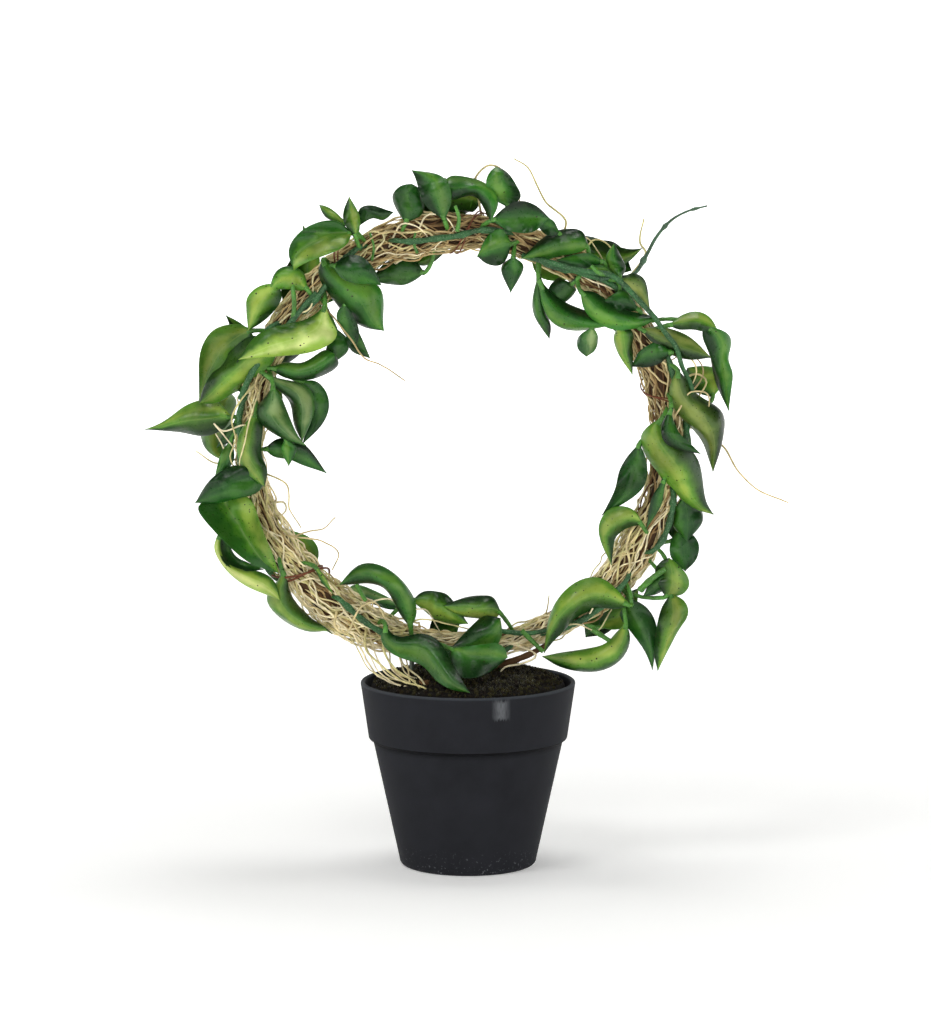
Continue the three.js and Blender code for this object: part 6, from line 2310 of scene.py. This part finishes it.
    def hull(self, name: str, points: list[Point]) -> Mesh:
        """Makes the convex hull of points as a mesh.

        Args:
            name: The mesh's name.
            points: The points.

        Returns:
            The mesh.
        """
        work = bmesh.new()
        for p in points:
            work.verts.new(Vector(p) * MM)
        made = bmesh.ops.convex_hull(work, input=work.verts)
        bmesh.ops.delete(work, geom=[v for v in made["geom_interior"] if isinstance(v, bmesh.types.BMVert)])
        mesh = bpy.data.meshes.new(name)
        work.to_mesh(mesh)
        work.free()
        mesh.materials.append(self.finish)
        return mesh


# Soft boxes: name, place and side in metres, and power in watts
SOFTBOXES = (
    ("key_softbox", (-0.9, -1.2, 2.1), 0.8, 13.5),
    ("fill_softbox", (1.6, -1.7, 0.9), 1.5, 1.8),
    ("top_softbox", (0.1, 0.3, 2.2), 0.9, 15.5),
)


@dataclass
class PhotoStudio:
    """A white bowl-shaped ground, soft boxes and the camera."""

    floor: float = 3.2
    bend: float = 0.8
    top: float = 1.5
    sides: int = 96
    distance: float = 2.5
    target: Point = (-0.0014, 0.0, 0.1988)
    ambient: float = 0.05

    def build(self) -> None:
        """Sets up the ground, the lights, the world and the camera."""
        self.ground()
        for softbox in SOFTBOXES:
            self.light(*softbox)
        world = bpy.data.worlds.new("studio_white")
        world.use_nodes = True
        background = world.node_tree.nodes["Background"]
        background.inputs["Color"].default_value = (1, 1, 1, 1)
        background.inputs["Strength"].default_value = self.ambient
        bpy.context.scene.world = world
        bpy.context.scene.view_settings.view_transform = "Standard"
        self.camera()

    def ground(self) -> Object:
        """Makes the ground: a floor that bends up into a low wall all round, the same from every side.

        Returns:
            The ground.
        """
        line = [(self.floor + self.bend, self.top)]
        line += [(self.floor + self.bend * math.sin(a), self.bend * (1 - math.cos(a)))
                 for a in np.radians(np.linspace(90, 0, 13))]
        points, faces = turned([*line, (0, 0)], self.sides)
        mesh = mesh_from("studio_ground", points / MM, faces, StudioFloor().make())
        return new_object("studio_ground", mesh)

    def light(self, name: str, place: Point, size: float, power: float) -> None:
        """Hangs one square soft box.

        Args:
            name: The light's name.
            place: Where it hangs, in metres.
            size: The length of its side, in metres.
            power: Its power in watts.
        """
        lamp = bpy.data.lights.new(name, "AREA")
        lamp.size = size
        lamp.energy = power
        hung = bpy.data.objects.new(name, lamp)
        hung.location = place
        aim = Vector(self.target) - Vector(place)
        hung.rotation_euler = aim.to_track_quat("-Z", "Y").to_euler()
        bpy.context.scene.collection.objects.link(hung)

    def camera(self) -> None:
        """Sets the camera at the measured view."""
        lens = bpy.data.cameras.new("camera")
        lens.lens = SIGHT.lens
        lens.sensor_width = SIGHT.sensor
        lens.clip_end = 50
        viewer = bpy.data.objects.new("camera", lens)
        tilt = math.radians(SIGHT.elevation)
        x, y, z = self.target
        viewer.location = (x, y - self.distance * math.cos(tilt), z + self.distance * math.sin(tilt))
        viewer.rotation_euler = (math.pi / 2 - tilt, 0, 0)
        bpy.context.scene.collection.objects.link(viewer)
        bpy.context.scene.camera = viewer


def main() -> None:
    """Builds the studio, the pot, the soil, the roots, the ties and the vines in order."""
    logging.basicConfig(level=logging.INFO, format="%(name)s %(message)s")
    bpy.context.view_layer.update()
    PhotoStudio().build()
    tubes = PathTubes()
    NurseryPot(PotPlastic().make()).build()
    SoilHeap(SurfaceScatter(), PottingMix().make(), CushionMoss().make()).build()
    RootBundle(tubes, AirRoot().make()).build()
    WireTies(tubes, CopperTie().make()).build()
    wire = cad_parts["hoop_wire"]
    wire.data.materials.clear()
    wire.data.materials.append(CoatedWire().make())
    cutter = LeafCutter()
    leaf_finish, stem_finish = HoyaLeaf().make(), VineSkin().make()
    for plan in VINES:
        LeafyVine(plan, cutter, tubes, leaf_finish, stem_finish).build()


if __name__ == "__main__":
    main()
